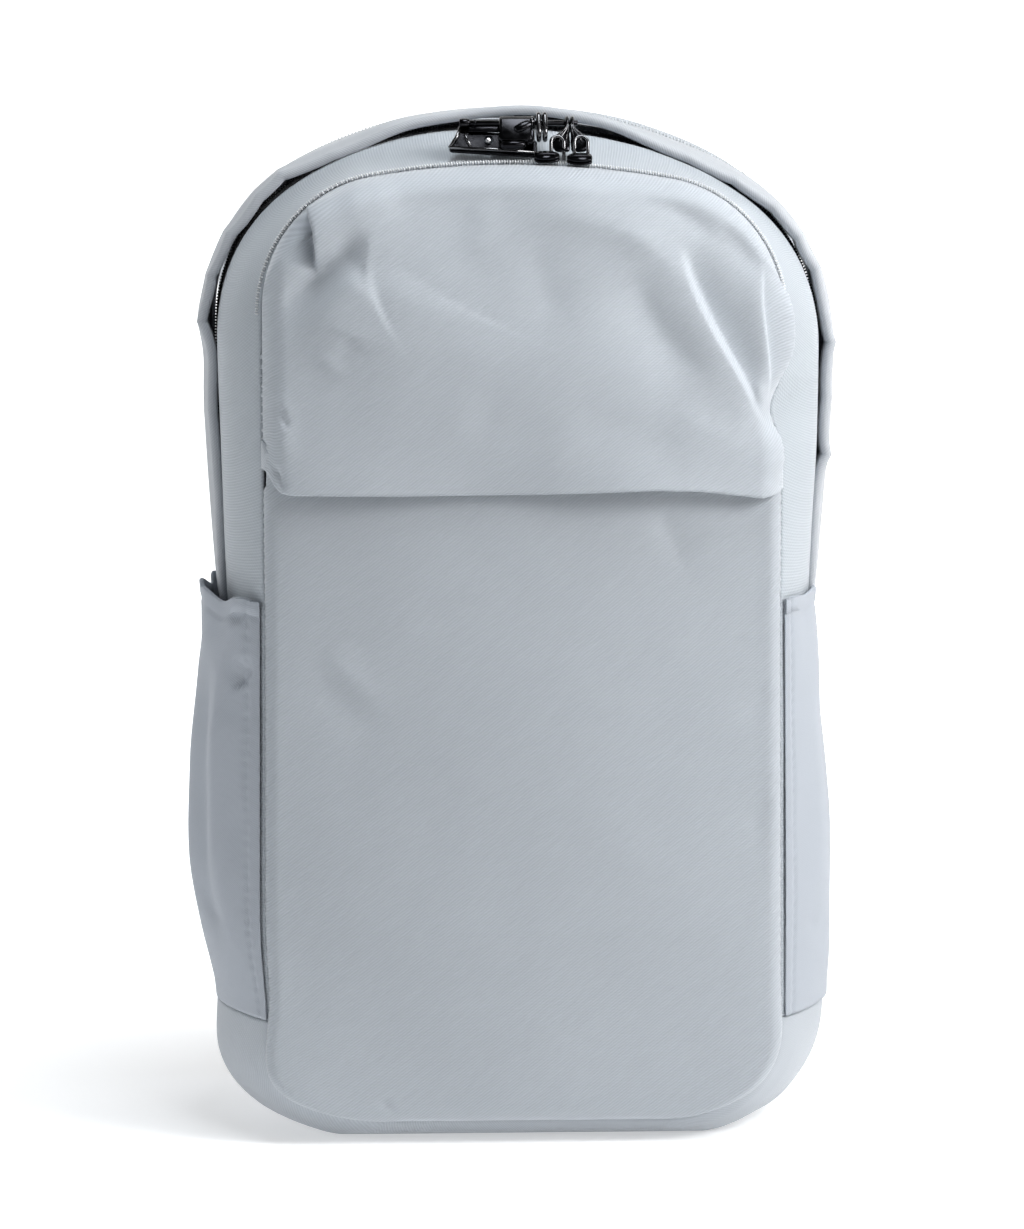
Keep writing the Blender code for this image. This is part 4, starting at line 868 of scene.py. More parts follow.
# How far the flap's hem lies above its own height, at places across it
HEM_LINE = (
    (-0.1165, 0.0100), (-0.1148, 0.0084), (-0.1125, 0.0038), (-0.1096, 0.0005), (-0.104, -0.0004),
    (-0.055, -0.0005), (-0.010, 0.0), (0.017, 0.0006),
    (0.058, 0.0019), (0.080, 0.0010), (0.100, -0.0016), (0.108, -0.0028), (0.114, -0.0016), (0.119, 0.0010),
)
FLAP_COLUMNS, FLAP_ROWS = 270, 145
# Where the flap's grid is closer: place across or up as a share, width and how much
CLOSE_COLUMNS = ((0.13, 0.05, 1.6), (0.02, 0.03, 1.0), (0.90, 0.10, 1.0))
CLOSE_ROWS = ((0.80, 0.08, 0.9),)
# The last rows, given by how far they lie under the top seam
TOP_ROWS = (0.08, 0.064, 0.05, 0.038, 0.028, 0.019, 0.012, 0.006, 0.002, 0.0)


def closer(count, places):
    """Shares from 0 to 1 that lie closer together around the places given."""
    fine = np.linspace(0, 1, 2001)
    weight = 1 + sum(more * np.exp(-(((fine - place) / width) ** 2)) for place, width, more in places)
    total = np.cumsum(weight) - weight[0]
    return np.interp(np.linspace(0, 1, count), total / total[-1], fine)


def flap(cloth):
    """The full upper panel that hangs over the pocket's mouth, its gather and its creases."""
    half = half_outline(FRONT_SEAM, ("shoulder", "top"))
    edge = np.concatenate([half * (-1, 1), half[-2::-1]])
    shares = np.linspace(0, 1, len(edge))
    columns = closer(FLAP_COLUMNS, CLOSE_COLUMNS)
    top_x, top_z = (np.interp(columns, shares, edge[:, axis]) for axis in (0, 1))
    corner_z, side = edge[0][1], FRONT_SEAM.full
    ups = np.concatenate([0.9 * closer(FLAP_ROWS, CLOSE_ROWS), 1 - np.array(TOP_ROWS)])
    u, v = np.meshgrid(columns, ups)
    top_x, top_z = np.broadcast_to(top_x, u.shape), np.broadcast_to(top_z, u.shape)
    hem_x = side * np.sin(math.pi / 2 * (2 * u - 1))
    lift = np.interp(hem_x, *zip(*HEM_LINE)) * (1 - v) ** 3
    side_z = HEM_HEIGHT + (corner_z - HEM_HEIGHT) * v
    x = (1 - v) * hem_x + v * top_x
    z = (1 - v) * HEM_HEIGHT + v * top_z + side_z - ((1 - v) * HEM_HEIGHT + v * corner_z)
    across = x / side
    to_side = width_at(FRONT_SEAM, np.minimum(z, corner_z)) - np.abs(x)
    reach = np.where(v > 0.5, np.minimum(to_side, (1 - v) * (top_z - HEM_HEIGHT)), to_side)
    roll = rolled(reach, FLAP_ROLL) / FLAP_ROLL
    hem_crown = FLAP_HEM_CROWN + 0.0022 * bell(x, 0.062, 0.042) - 0.0030 * bell(x, -0.03, 0.05)
    swell = hem_crown + (FLAP_CROWN - hem_crown) * np.sin(math.pi * np.minimum(v * 1.1, 1.0))
    crown = swell * np.maximum(1 - across**2, 0.0) ** 0.8
    y = front_depth(z) - SEAM_GAP - (FLAP_ROLL + crown) * roll
    points = np.stack([x, y, z + lift], axis=-1)
    seam = np.clip((1 - v) * (top_z - HEM_HEIGHT) / 0.003, 0, 1) * np.clip(to_side / 0.0012 + 0.25, 0, 1)
    bumps = crease_rise(x, z, FLAP_CREASES) * seam
    bumps += soft_noise(points * (1, 0, 1), 0.060, 7.0) * 0.0016 * np.clip(reach / 0.02, 0, 1)
    bumps += soft_noise(points * (1, 0, 1), 0.024, 9.0) * 0.0004 * np.clip(reach / 0.02, 0, 1)
    bumps += puckers(z, to_side) * seam
    points = pressed(points, bumps)
    ear = EAR_REACH * bell(z, EAR_HEIGHT, EAR_WIDTH) * ramp(x, 0.098, 0.0195) ** 2
    points[..., 0] += ear
    cut = np.stack([x, z], axis=-1)

    # the hem turns under and runs up again behind the edge
    bend = HEM_BEND
    under, under_cut = [], []
    for angle in np.linspace(math.pi, 0.25, 8):
        row = points[0].copy()
        row[:, 1] += bend * (1 + math.cos(angle))
        row[:, 2] -= bend * math.sin(angle) * 0.9
        under.append(row)
        under_cut.append(cut[0] - (0, bend * (math.pi - angle)))
    inner = [points[0] + (0, 2 * bend, up) for up in (0.012, 0.005, 0.0012)]
    inner_cut = [cut[0] - (0, down) for down in (0.016, 0.009, 0.005)]
    points = np.concatenate([np.array(inner), np.array(under[::-1])[:-1], points])
    cut = np.concatenate([np.array(inner_cut), np.array(under_cut[::-1])[:-1], cut])
    lay(
        "flap_panel", points, cloth, thickness=THIN_CLOTH, cut=cut,
        nodes=["pocket_flap"],
    )


def inner_wall(cloth):
    """The flat wall of the main compartment behind the front pocket."""
    line = grown(FRONT_SEAM, -(CLOTH + 2 * SEAM_GAP + SLUMP / 3))
    heights = np.concatenate([
        line.low + np.array([0, 0.002, 0.006]), np.linspace(0.02, line.high - 0.001, 60),
    ])
    across, z = np.meshgrid(np.linspace(-1, 1, 50), heights)
    x = width_at(line, z) * across
    y = -FRONT_DEPTH + 0.003 + (FRONT_LEAN - 0.001) * (z - line.low) / (line.high - line.low)
    points = np.stack([x, y, z], axis=-1)
    lay(
        "inner_wall", points, cloth, thickness=THIN_CLOTH, nodes=["front_wall"],
        leaned=True,
    )


# A side pocket's side, how far its mouth, belly and foot stand off, and the belly's share of its height
SidePocket = namedtuple("SidePocket", "side mouth belly foot belly_share creases")
LEFT_CREASES = (
    Crease((16, 238), (22, 170), (18, 75), 2.0, 8, 7),
    Crease((31, 232), (33, 160), (28, 80), -2.0, 6, 8),
    Crease((47, 226), (50, 150), (44, 75), 2.0, 9, 7),
    Crease((60, 236), (62, 190), (58, 140), -1.6, 6, 6),
    Crease((1.5, 224), (5, 215), (13, 208), -3.4, 2.2, 5),
    Crease((2, 250), (9, 241), (15, 247), -2.6, 3, 4),
    Crease((6, 198), (16, 188), (28, 184), 1.2, 6, 6),
    Crease((44, 120), (30, 104), (14, 98), -1.4, 8, 7),
    Crease((78, 236), (82, 180), (78, 110), -1.4, 9, 9),
    Crease((3, 160), (6, 140), (3, 118), -1.0, 2, 5),
)
RIGHT_CREASES = (
    Crease((22, 215), (26, 150), (23, 80), 1.2, 10, 10),
    Crease((44, 215), (48, 150), (44, 80), -1.2, 9, 10),
    Crease((10, 104), (24, 92), (42, 92), -0.9, 6, 6),
    Crease((66, 220), (68, 160), (66, 100), 1.2, 9, 9),
)
MOUTH_WAVE = 0.0015
# Rows and columns of a side pocket, the bend of its turned mouth, its cloth and its places for widths
POCKET_COLUMNS, POCKET_ROWS, MOUTH_BEND, POCKET_CLOTH = 110, 130, 0.0011, 0.0009
WIDTH_SHARES, WIDTH_DEPTHS = np.linspace(0, 1, 25), np.linspace(0.004, SIDE_POCKET_REAR, 8)
SIDE_POCKETS = {
    "side_pocket_left": SidePocket(-1, 0.0108, 0.0116, -0.0004, 0.50, LEFT_CREASES),
    "side_pocket_right": SidePocket(1, 0.0024, 0.0050, 0.0002, 0.36, RIGHT_CREASES),
}


def side_pocket(name, pocket, cloth):
    """A cloth pocket on the side, open at its top, with a turned and stitched hem."""
    bend, share, tall = MOUTH_BEND, pocket.belly_share, WAIST_HEIGHT + POCKET_RISE - SEAM_HEIGHT
    across = (1 - np.cos(math.pi * np.linspace(0, 1, POCKET_COLUMNS))) / 2
    u, v = np.meshgrid(across, np.linspace(0, 1, POCKET_ROWS))
    low = pocket.foot + (pocket.belly - pocket.foot) * np.sin(math.pi / 2 * np.clip(v / share, 0, 1))
    opening = np.sin(math.pi / 2 * ramp(v, share, 1 - share)) ** 2
    high = pocket.belly + (pocket.mouth - pocket.belly) * opening
    swell = np.where(v < share, low, high)
    z = SEAM_HEIGHT + SEAM_GAP + tall * v
    start = front_depth(z) + 0.0008
    y = start + (SIDE_POCKET_REAR - start) * u
    lines = [front_line(s) for s in WIDTH_SHARES] + [body_line(d) for d in WIDTH_DEPTHS]
    table = np.array([width_at(line, z[:, 0]) for line in lines])
    spots = np.concatenate([WIDTH_SHARES, 1 + WIDTH_DEPTHS])
    spot = np.where(y < 0, 1 - y / front_depth(z), 1 + y)
    width = np.array([np.interp(spot[row], spots, table[:, row]) for row in range(POCKET_ROWS)])
    bulge = np.maximum(np.sin(math.pi * u**BELLY_FORWARD), 0.0) ** 0.75
    out = width + (SEAM_GAP + CLOTH) + swell * bulge
    mouth_wave = MOUTH_WAVE if pocket.side < 0 else MOUTH_WAVE / 3
    wave = mouth_wave * np.sin(u * 23 + 0.4) * ramp(v, 0.82, 0.18) * bulge**0.5
    points = np.stack([pocket.side * (out + wave), y, z + 1.6 * wave], axis=-1)
    rise = crease_rise(y - start, z, pocket.creases)
    rise += soft_noise(points * (0, 1, 1), 0.040, 6.0 + pocket.side) * 0.0012
    rise *= np.clip(np.minimum(u, 1 - u) / 0.06, 0, 1)
    rise *= np.clip(v / 0.04, 0, 1) * np.clip((1 - v) / 0.05, 0.15, 1)
    # the dents of the stitches under the mouth and along the front seam
    rise -= 0.0006 * bell((1 - v) * tall, 0.0068, 0.0009)
    rise -= 0.0006 * bell(y - start, 0.0040, 0.0010)
    rise += puckers(z, (y - start) - 0.004, 0.0052, 0.0003)
    direction = normals_of(points) * pocket.side
    points = points + direction * rise[..., None]
    cut = np.stack([y, z], axis=-1)

    # the mouth's hem turns in and runs down behind its edge
    under = []
    for angle in np.linspace(math.pi, 0.25, 7):
        row = points[-1].copy()
        row[:, 0] -= pocket.side * bend * (1 + math.cos(angle)) * bulge[-1]
        row[:, 2] += bend * math.sin(angle) * 0.8
        under.append(row)
    fold = np.column_stack([bulge[-1], bulge[-1], np.ones(POCKET_COLUMNS)])
    inner = [points[-1] - (pocket.side * 2 * bend, 0, drop) * fold for drop in (0.002, 0.006)]
    hem_cut = [cut[-1] + (0, 0.0008 * k) for k in range(1, 7)] + [cut[-1] + (0, up) for up in (0.008, 0.012)]
    points = np.concatenate([points, np.array(under)[1:], np.array(inner)])
    lay(
        name + "_cloth", points, cloth, thickness=POCKET_CLOTH,
        cut=np.concatenate([cut, np.array(hem_cut)]), nodes=[name], flip=pocket.side < 0,
    )


# The back


def merged_copy(name, node):
    """A copy of a node's solid with its loose triangles joined."""
    shape = bmesh.new()
    shape.from_mesh(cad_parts[node].data)
    bmesh.ops.remove_doubles(shape, verts=shape.verts, dist=1e-6)
    bmesh.ops.recalc_face_normals(shape, faces=shape.faces)
    mesh = bpy.data.meshes.new(name)
    shape.to_mesh(mesh)
    shape.free()
    return mesh


# Sewn channels in a pad: upright at the same distance on both sides, or level at a height
Channel = namedtuple("Channel", "upright place floor")
BACK_CHANNELS = (
    Channel(True, 0.0, 0.075), Channel(True, 0.058, 0.075),
    Channel(False, 0.165, 0.075), Channel(False, 0.285, 0.075),
)
CHANNEL_WIDTH, CHANNEL_DEPTH = 0.0055, 0.0034
# How far a pad that is sewn in all round may still move sideways
SEWN_GIVE = 0.1
# The swelling of the pads: the air's pressure, the cloth's stiffness and the frames that it runs for
PAD_PRESSURE, PAD_STIFFNESS, PAD_FRAMES = 4.0, 12, 20
# How much further than the body's cloth the back pad sags at the shoulders
PAD_SAG = 1.3


def padded(name, node, finish, shrink, voxel, cap, channels=(), sewn=False):
    """A padded piece swollen by cloth pressure from a slightly smaller copy of its solid.

    Voxel is the size of its even grid, and cap the furthest that any place may move.
    """
    mesh = merged_copy(name, node)
    if node == "back_panel":
        for vert in mesh.vertices:
            x, y, z = vert.co - SHIFT
            vert.co.z -= PAD_SAG * float(shoulder_sag(x, y, z))
    made = place_object(name, mesh, finish)
    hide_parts(node)
    made.data.shade_smooth()
    scene = bpy.context.scene
    smaller = made.modifiers.new("Smaller", "DISPLACE")
    smaller.strength = -shrink
    smaller.mid_level = 0.0
    remesh = made.modifiers.new("Even", "REMESH")
    remesh.mode = "VOXEL"
    remesh.voxel_size = voxel
    bake(made)
    start = np.array([vert.co[:] for vert in made.data.vertices])
    cloth = made.modifiers.new("Swell", "CLOTH")
    cloth.settings.use_pressure = True
    cloth.settings.uniform_pressure_force = PAD_PRESSURE
    cloth.settings.effector_weights.gravity = 0
    cloth.settings.tension_stiffness = cloth.settings.compression_stiffness = PAD_STIFFNESS
    for number in range(1, PAD_FRAMES + 1):
        scene.frame_set(number)
    bake(made)
    scene.frame_set(1)
    moved = np.array([vert.co[:] for vert in made.data.vertices])
    step = moved - start
    if sewn:
        step[:, 0] *= SEWN_GIVE
        step[:, 2] *= SEWN_GIVE
    size = np.linalg.norm(step, axis=1, keepdims=True)
    step *= np.minimum(1.0, cap / np.maximum(size, 1e-9))
    places = start + step
    for line in channels:
        x, y, z = (places - np.array(SHIFT)).T
        across, low, high = (np.abs(x), 0.03, 0.40) if line.upright else (z, -0.11, 0.11)
        run = z if line.upright else x
        groove = bell(across, line.place, CHANNEL_WIDTH)
        groove *= np.clip(np.minimum(run - low, high - run) / 0.02, 0, 1)
        places[:, 1] -= CHANNEL_DEPTH * groove * ramp(y, line.floor, 0.003)
    made.data.vertices.foreach_set("co", places.ravel())
    made.data.update()
    made.data.shade_smooth()
    finer = made.modifiers.new("Finer", "SUBSURF")
    finer.levels = finer.render_levels = 1
    return made


def rear_slider(finish):
    """The rear zip's slider, set down onto the sagging shoulder."""
    mesh = merged_copy("rear_slider_body", "rear_slider")
    low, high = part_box("rear_slider")
    drop = float(shoulder_sag(*((low + high) / 2 - SHIFT))) + REAR_SLIDER_DROP
    for vert in mesh.vertices:
        vert.co.z -= drop
        vert.co.x -= REAR_SLIDER_DROP
    made = place_object("rear_slider_body", mesh, finish)
    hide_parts("rear_slider")


def bake(made):
    """Turns the object's modifiers into its plain mesh."""
    bpy.context.view_layer.update()
    graph = bpy.context.evaluated_depsgraph_get()
    mesh = bpy.data.meshes.new_from_object(made.evaluated_get(graph))
    made.modifiers.clear()
    made.data = mesh
    mesh.shade_smooth()


def smooth_cloth(name, node, finish):
    """Webbing and loops: the node's own ribbon, smoothed."""
    mesh = merged_copy(name, node)
    mesh.shade_smooth()
    made = place_object(name, mesh, finish)
    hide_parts(node)
    finer = made.modifiers.new("Finer", "SUBSURF")
    finer.levels = finer.render_levels = 2


# The lock and the zip pulls

# From the middle of the front seam's top to the rod's start: across, back and up, and the plate's tilt
LOCK_SET, LOCK_TILT = (-0.0262, 0.0125, 0.0180), 35.0
# Places and sizes in the rod's own frame
ROD_RADIUS = 0.0012
LEVER_START, LEVER_LENGTH = 0.0162, 0.0166
RING_PLACES = (0.0343, 0.0371)
RING_BEND, RING_STRAIGHT, RING_WIRE, RING_RISE = 0.0030, 0.0066, 0.0011, 0.0018
NECK_PLACE = 0.0484
RIVET_PLACE = (0.0114, 0.0008, -0.0084)


def lock_matrix():
    """From the rod's own frame, X along it and Z up the plate, to the bag's."""
    across, back, rise = LOCK_SET
    place = Vector((across, front_depth(FRONT_SEAM.high) + back, FRONT_SEAM.high + rise)) + SHIFT
    return Matrix.Translation(place) @ Matrix.Rotation(-math.radians(LOCK_TILT), 4, "X")


def finished(name, shape, matrix, finish, body="bag", nodes=()):
    """One hard piece from its own frame, put in its place with its faces outwards."""
    bmesh.ops.remove_doubles(shape, verts=shape.verts, dist=1e-7)
    bmesh.ops.transform(shape, matrix=matrix, verts=shape.verts)
    bmesh.ops.recalc_face_normals(shape, faces=shape.faces)
    mesh = bpy.data.meshes.new(name)
    shape.to_mesh(mesh)
    shape.free()
    mesh.shade_smooth()
    made = place_object(name, mesh, finish, body)
    if nodes:
        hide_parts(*nodes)


def tube(shape, path, radius, sides=12, closed=False, flat=1.0):
    """A round bar along a path: circles set across it and bridged."""
    path = [Vector(p) for p in path]
    count = len(path)
    loops = []
    for index, point in enumerate(path):
        before = path[index - 1] if index or closed else point
        after = path[(index + 1) % count] if index < count - 1 or closed else point
        frame_turn = (after - before).to_track_quat("Z", "X").to_matrix().to_4x4()
        size = radius[index] if isinstance(radius, (list, tuple)) else radius
        place = Matrix.Translation(point) @ frame_turn @ Matrix.Diagonal((1, flat, 1, 1))
        ends = not closed and index in (0, count - 1)
        circle = bmesh.ops.create_circle(shape, cap_ends=ends, segments=sides, radius=size, matrix=place)
        verts = set(circle["verts"])
        loops.append([edge for edge in shape.edges if edge.verts[0] in verts and edge.verts[1] in verts])
    pairs = list(zip(loops, loops[1:])) + ([(loops[-1], loops[0])] if closed else [])
    for first, second in pairs:
        bmesh.ops.bridge_loops(shape, edges=first + second)


def block(shape, size, centre, bevel, segments=3):
    """A rounded block."""
    made = bmesh.ops.create_cube(shape, size=1.0)["verts"]
    bmesh.ops.scale(shape, vec=size, verts=made)
    bmesh.ops.translate(shape, vec=centre, verts=made)
    edges = {edge for vert in made for edge in vert.link_edges}
    bmesh.ops.bevel(
        shape, geom=list(edges), offset=bevel, segments=segments, profile=0.5, affect="EDGES", material=-1
    )


def bar(shape, low, high, radius, sides=24):
    """A round bar along X with softened ends."""
    lip = 0.12 * radius
    path = [(x, 0.0, 0.0) for x in (low, low + lip, high - lip, high)]
    tube(shape, path, [radius - lip, radius, radius, radius - lip], sides)


def loft(shape, rows, sides=20):
    """Ovals one above the other: each row is height, middle, half width and half depth."""
    loops = []
    for number, (height, middle, wide, deep) in enumerate(rows):
        place = Matrix.Translation((middle, 0, height)) @ Matrix.Diagonal((wide, deep, 1, 1))
        circle = bmesh.ops.create_circle(
            shape, cap_ends=number in (0, len(rows) - 1), segments=sides, radius=1.0, matrix=place
        )
        verts = set(circle["verts"])
        loops.append([edge for edge in shape.edges if edge.verts[0] in verts and edge.verts[1] in verts])
    for first, second in zip(loops, loops[1:]):
        bmesh.ops.bridge_loops(shape, edges=first + second)


def plate(here, metal, highlight_metal, pale_metal):
    """The rims, the fold and the rivet of the base plate."""
    shape = bmesh.new()
    front = 0.0014
    low_left, low_right = (-0.0062, front, -0.0120), (0.0330, front, -0.0146)
    top_left, top_in = (-0.0010, front, -0.0010), (0.0036, front, -0.0030)
    tube(shape, [low_left, (0.0136, front, -0.0131), low_right], 0.00085, 10, flat=0.8)
    tube(shape, [low_left, (-0.0028, front, -0.0060), top_left], 0.00075, 10, flat=0.8)
    inner_rim = [(0.0006, front, -0.0030), (0.0016, front, -0.0072), (0.0034, front, -0.0118)]
    tube(shape, inner_rim, 0.0006, 10, flat=0.8)
    tube(shape, [top_in, (0.0100, front, -0.0033), (0.0160, front, -0.0035)], 0.0006, 10, flat=0.8)
    # the rims take the lighter metal: painted highlights along the plate's edges
    finished("plate_rims", shape, here, highlight_metal)
    shape = bmesh.new()
    block(shape, (0.0144, 0.0012, 0.0036), (0.0096, 0.0010, -0.0023), 0.0004)
    finished("plate_fold", shape, here, metal)

    shape = bmesh.new()
    rows = ((-0.0004, 0.0014), (0.0, 0.0013), (0.0003, 0.0010), (0.0005, 0.0005), (0.00052, 0.0001))
    loft(shape, [(height, 0.0, radius, radius) for height, radius in rows], 20)
    turn = Matrix.Translation(RIVET_PLACE) @ Matrix.Rotation(math.pi / 2, 4, "X")
    finished("plate_rivet", shape, here @ turn, pale_metal)


def rod(here, metal):
    """The rod, with the collar and the knob at its left end."""
    shape = bmesh.new()
    bar(shape, -0.0016, 0.0030, 0.0020)
    bar(shape, 0.0048, 0.0060, 0.0017)
    finished("rod_collar", shape, here, metal)

    shape = bmesh.new()
    bar(shape, 0.0011, 0.0520, ROD_RADIUS, 28)
    finished("rod_bar", shape, here, metal, nodes=["lock_rod"])


def lever(here, metal, highlight_metal):
    """The lever on the rod: cheek, barrel and foot, lip, spring housing and the bands beside it."""
    end = LEVER_START + LEVER_LENGTH
    shape = bmesh.new()
    block(shape, (0.0150, 0.0040, 0.0122), (LEVER_START + 0.0076, -0.0017, -0.0052), 0.0013, 4)
    bar(shape, LEVER_START + 0.0003, end - 0.0003, 0.0029, 32)
    block(shape, (0.0036, 0.0036, 0.0070), (end - 0.0024, -0.0015, -0.0088), 0.0008)
    finished("lever_cheek", shape, here, metal, body="lever", nodes=["lock_lever"])
    shape = bmesh.new()
    tube(shape, [(LEVER_START + x, -0.0030, -0.0137) for x in (0.0004, 0.0016, 0.0060, 0.0104, 0.0120)],
         [0.0008, 0.0018, 0.0020, 0.0018, 0.0008], 16, flat=1.15)
    finished("lever_lip", shape, here, metal, body="lever")
    shape = bmesh.new()
    ovals = (
        (-0.0042, 0.0001, 0.0001), (-0.0041, 0.0012, 0.0008), (-0.0034, 0.0019, 0.0012),
        (0.0, 0.0023, 0.0014),
        (0.0034, 0.0019, 0.0012), (0.0041, 0.0012, 0.0008), (0.0042, 0.0001, 0.0001),
    )
    loft(shape, [(height, 0.0, wide, deep) for height, wide, deep in ovals], 16)
    turn = Matrix.Translation((LEVER_START + 0.0108, -0.0036, -0.0040)) @ Matrix.Rotation(1.05, 4, "Y")
    finished("lever_spring", shape, here @ turn, metal, body="lever")
    # the bands take the lighter metal: painted highlights on the barrel
    shape = bmesh.new()
    for place in (0.0008, LEVER_LENGTH - 0.0020):
        bar(shape, LEVER_START + place, LEVER_START + place + 0.0011, 0.0031, 32)
    finished("lever_bands", shape, here, highlight_metal, body="lever")


def ring_pulls(here, highlight_metal):
    """The two rings of the main zip, each with its stem."""
    for number, place in enumerate(RING_PLACES, 1):
        rest = RING_RISE + ROD_RADIUS + 0.00008 - (RING_BEND - RING_WIRE)
        shape = bmesh.new()
        arc = [math.pi * step / 12 for step in range(13)]
        loop = [(place, RING_BEND * math.cos(a), rest + RING_BEND * math.sin(a)) for a in arc]
        foot = rest - RING_STRAIGHT
        loop += [(place, -RING_BEND * math.cos(a), foot - RING_BEND * math.sin(a)) for a in arc]
        tube(shape, loop, RING_WIRE, 12, closed=True)
        level = Matrix.Rotation(math.radians(LOCK_TILT + 1), 4, "X")
        stem_turn = Matrix.Translation((0, 0.0030, -0.0010)) @ level
        stem = [stem_turn @ Vector((place, y, 0)) for y in (-0.0005, 0.010, 0.020, 0.0290)]
        tube(shape, stem, [0.0009, 0.0010, 0.0010, 0.0008], 12, flat=0.7)
        # the rings and their stems take the lighter metal, which paints their highlights
        finished(f"ring_{number}", shape, here, highlight_metal, nodes=[f"main_pull_{number}"])


# The ovals of a flared pull: height, how far out from its neck, half width and half depth
PULL_OVALS = (
    (0.0030, 0.0012, 0.0006, 0.0006), (0.0027, 0.0012, 0.0010, 0.0015), (0.0014, 0.0012, 0.0010, 0.0026),
    (0.0, 0.0012, 0.0010, 0.0029), (-0.0016, 0.0013, 0.0010, 0.0020), (-0.0030, 0.0015, 0.0012, 0.0014),
    (-0.0048, 0.0024, 0.0021, 0.0012), (-0.0066, 0.0034, 0.0031, 0.0013),
    (-0.0084, 0.0041, 0.0039, 0.0013), (-0.0104, 0.0044, 0.0043, 0.0012),
    (-0.0126, 0.0042, 0.0040, 0.0011), (-0.0144, 0.0038, 0.0035, 0.0010), (-0.0152, 0.0036, 0.0028, 0.0006),
)
# The ridges on its face: height and how far out from the neck
PULL_RIDGE = ((0.0018, 0.0006), (-0.0030, 0.0010), (-0.0056, 0.0030), (-0.0082, 0.0058), (-0.0108, 0.0074))


def flared_pulls(here, metal, highlight_metal):
    """The two flared pulls of the front zip, with their ridges and bails."""
    for word, side in (("left", -1), ("right", 1)):
        shape = bmesh.new()
        loft(shape, [(h, NECK_PLACE + side * m, w, d) for h, m, w, d in PULL_OVALS], 20)
        finished(f"flared_pull_{word}", shape, here, metal, nodes=[f"front_pull_{word}"])
        # the ridges take the lighter metal: painted highlight lines on the pull's face
        shape = bmesh.new()
        for inner, reach in ((0.2, 0.0004), (0.62, 0.0008), (1.0, 0.0005)):
            path = [(NECK_PLACE + side * (0.0005 + m * inner), -0.0013 - reach / 3, h) for h, m in PULL_RIDGE]
            tube(shape, path, [0.00015, 0.0003, 0.0003, 0.0003, 0.00015], 8)
        finished(f"pull_edges_{word}", shape, here, highlight_metal)
        # the bail takes the lighter metal too, a painted highlight
        arch_bail(f"bail_{word}", side, here, highlight_metal)


# The wire bails of the front sliders: the foot, the width and the height of each arch, in the rod's frame
BAIL_WIRE, BAIL_HEIGHT, BAIL_DROP = 0.00085, 0.0104, 0.0186
BAIL_FEET = {-1: (-0.0088, -0.0030), 1: (0.0018, 0.0078)}


def arch_bail(name, side, here, finish):
    """A wire arch that stands on a slider and holds the pull's foot."""
    first, last = (NECK_PLACE + foot for foot in BAIL_FEET[side])
    middle, half = (first + last) / 2, (last - first) / 2
    arc = [middle - half * math.cos(math.pi * step / 14) for step in range(15)]
    top = [-BAIL_DROP + BAIL_HEIGHT - half + half * math.sin(math.pi * step / 14) for step in range(15)]
    path = [(first, 0.0022, -BAIL_DROP), (first, 0.0006, -BAIL_DROP + 0.0030)]
    path += [(x, -0.0016, z) for x, z in zip(arc, top)]
    path += [(last, 0.0006, -BAIL_DROP + 0.0030), (last, 0.0022, -BAIL_DROP)]
    shape = bmesh.new()
    tube(shape, path, BAIL_WIRE, 10)
    finished(name, shape, here, finish)


def slider_body(shape):
    """A zip slider in its own frame: two shields, wider ahead, a waist between and a bridge on top."""
    for height, grow in ((0.0010, 0.0), (-0.0009, -0.0003)):
        made = bmesh.ops.create_circle(shape, cap_ends=True, segments=28, radius=1.0)["verts"]
        for vert in made:
            x, y = vert.co.x, vert.co.y
            wide = 0.0035 + grow - 0.0011 * max(-x, 0.0) ** 1.5
            long = 0.0058 * math.copysign(abs(x) ** 0.75, x)
            vert.co = Vector((long, wide * math.copysign(abs(y) ** 0.6, y), height))
        face = list(made[0].link_faces)
        top = bmesh.ops.extrude_face_region(shape, geom=face)
        verts = [item for item in top["geom"] if isinstance(item, bmesh.types.BMVert)]
        bmesh.ops.translate(shape, vec=(0, 0, 0.0007), verts=verts)
        bmesh.ops.scale(shape, vec=(0.93, 0.90, 1), verts=verts)
    block(shape, (0.0040, 0.0030, 0.0022), (0.0030, 0, 0.0001), 0.0005)
    block(shape, (0.0080, 0.0018, 0.0013), (0.0002, 0, 0.0020), 0.0006, 3)


def zip_sliders(metal, highlight_metal):
    """The sliders' own detail, set where the frame's sliders are."""
    for node, lean in (
        ("main_slider_1", -1), ("main_slider_2", 1), ("front_slider_left", 1), ("front_slider_right", -1),
    ):
        front = node.startswith("front")
        low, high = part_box(node)
        middle = (low + high) / 2
        shape = bmesh.new()
        slider_body(shape)
        if front:
            turn = Matrix.Rotation(math.radians(30.0), 4, "X")
            turn = turn @ Matrix.Rotation(math.radians(90 + 90 * lean), 4, "Z")
            middle = Vector((middle.x - 0.0006, low.y + 0.0036, low.z + 0.0030))
        else:
            slope = math.degrees(math.asin((middle.x - SHIFT.x) / ZIP_LINE.top_radius))
            turn = Matrix.Rotation(math.radians(slope), 4, "Y")
            turn = turn @ Matrix.Rotation(math.radians(90 + 90 * lean), 4, "Z")
        # the main sliders take the lighter metal, which paints their highlights
        finish = metal if front else highlight_metal
        finished(node + "_body", shape, Matrix.Translation(middle) @ turn, finish, nodes=[node])


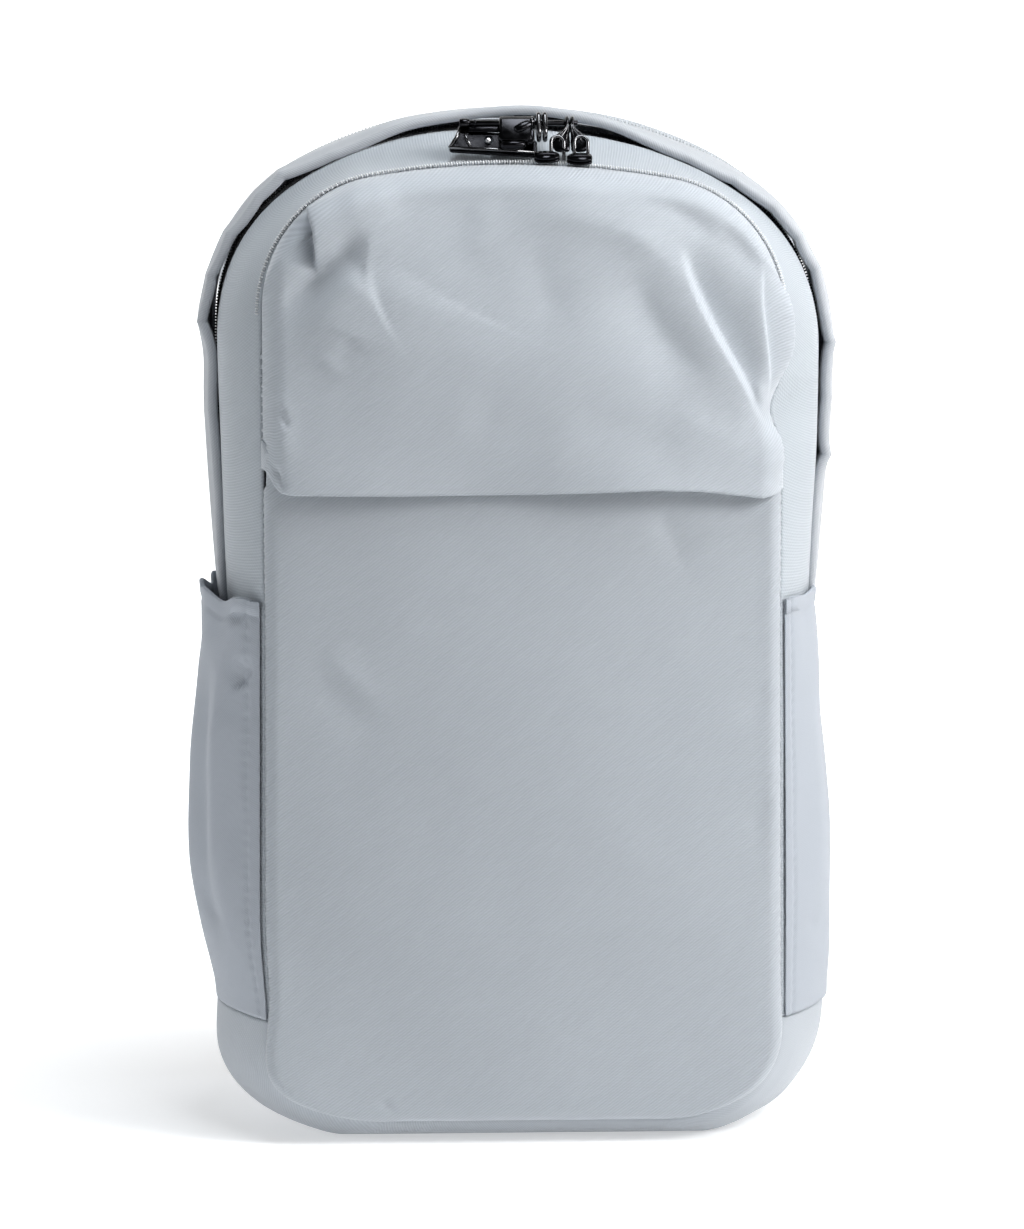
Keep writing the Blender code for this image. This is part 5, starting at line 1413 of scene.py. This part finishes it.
def dress():
    """Makes the finishes and every piece, and gives the plain nodes their finish."""
    silver = woven("silver_twill", (0.375, 0.405, 0.44), (0.455, 0.485, 0.525))
    # the flap's twill is the silver twill about 8% lighter: painted light, for the flap lit more than the
    # pocket panel below it
    flap_cloth_painted_light = woven("flap_twill_painted_light", (0.405, 0.437, 0.474), (0.49, 0.522, 0.565))
    ribbed = woven("ribbed_twill", (0.36, 0.395, 0.435), (0.46, 0.495, 0.53), ribs=0.00125)
    pocket_cloth = woven(
        "side_cloth", (0.35, 0.378, 0.42), (0.41, 0.44, 0.488), twill=0.0008, depth=0.0001, sheen=0.08
    )
    pale = woven("coated_cloth", (0.40, 0.42, 0.45), (0.48, 0.50, 0.53), twill=0.0008, depth=0.0001)
    # near-black tape and coil of the main zip, whose darkness also paints the shade in the gap under the hood
    tape = woven(
        "dark_tape_painted_shade", (0.012, 0.014, 0.018), (0.05, 0.055, 0.065), twill=0.0012, ribs=0.0014, depth=0.0003
    )
    webbing = woven("grey_webbing", (0.28, 0.30, 0.33), (0.42, 0.45, 0.49), ribs=0.0016, depth=0.0003)
    mesh = air_mesh("air_mesh", (0.16, 0.17, 0.19), (0.40, 0.43, 0.47))
    metal = gunmetal("gunmetal")
    # a lighter copy of the gunmetal that paints the highlights on the rims, bands, rings, ridges, bails and
    # main sliders
    highlight_metal = gunmetal("highlight_painted_gunmetal", (0.07, 0.07, 0.073), (0.20, 0.20, 0.206), 0.12, 0.28)
    pale_metal = gunmetal("pale_metal", (0.66, 0.67, 0.68), (0.80, 0.80, 0.81), 0.25, 0.4)
    coil = moulded("coil_grey", (0.42, 0.44, 0.46), (0.56, 0.58, 0.60), 0.35)
    pale_coil = moulded("coil_pale", (0.62, 0.63, 0.64), (0.74, 0.75, 0.76), 0.4)
    shade_dark_coil = moulded("coil_dark_painted_shade", (0.02, 0.022, 0.026), (0.05, 0.055, 0.06), 0.35)
    plastic = moulded("buckle_grey", (0.20, 0.215, 0.24), (0.27, 0.29, 0.32))

    front_band(ribbed)
    zip_tape(tape)
    rear_band(ribbed)
    base(silver)
    rain_hood(pale)
    inner_wall(silver)
    pocket_front(silver)
    flap(flap_cloth_painted_light)
    for name, pocket in SIDE_POCKETS.items():
        side_pocket(name, pocket, pocket_cloth)
    coils(coil, pale_coil, shade_dark_coil)
    here = lock_matrix()
    plate(here, metal, highlight_metal, pale_metal)
    rod(here, metal)
    lever(here, metal, highlight_metal)
    ring_pulls(here, highlight_metal)
    flared_pulls(here, metal, highlight_metal)
    zip_sliders(metal, highlight_metal)
    rear_slider(coil)
    back = padded("back_pad", "back_panel", mesh, 0.0002, 0.004, 0.005, channels=BACK_CHANNELS, sewn=True)
    for word in ("left", "right"):
        padded(f"strap_pad_{word}", f"shoulder_strap_{word}", mesh, 0.0010, 0.0042, 0.004)
        smooth_cloth(f"webbing_{word}", f"lower_webbing_{word}", webbing)
    smooth_cloth("carry_loop", "grab_handle", webbing)
    smooth_cloth("lock_tongue", "lock_tab", webbing)
    plain = {"lock_plate": metal, "ladder_lock_left": plastic, "ladder_lock_right": plastic}
    for node, finish in plain.items():
        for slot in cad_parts[node].material_slots:
            slot.material = finish


set_camera()
set_light()
set_ground()
dress()
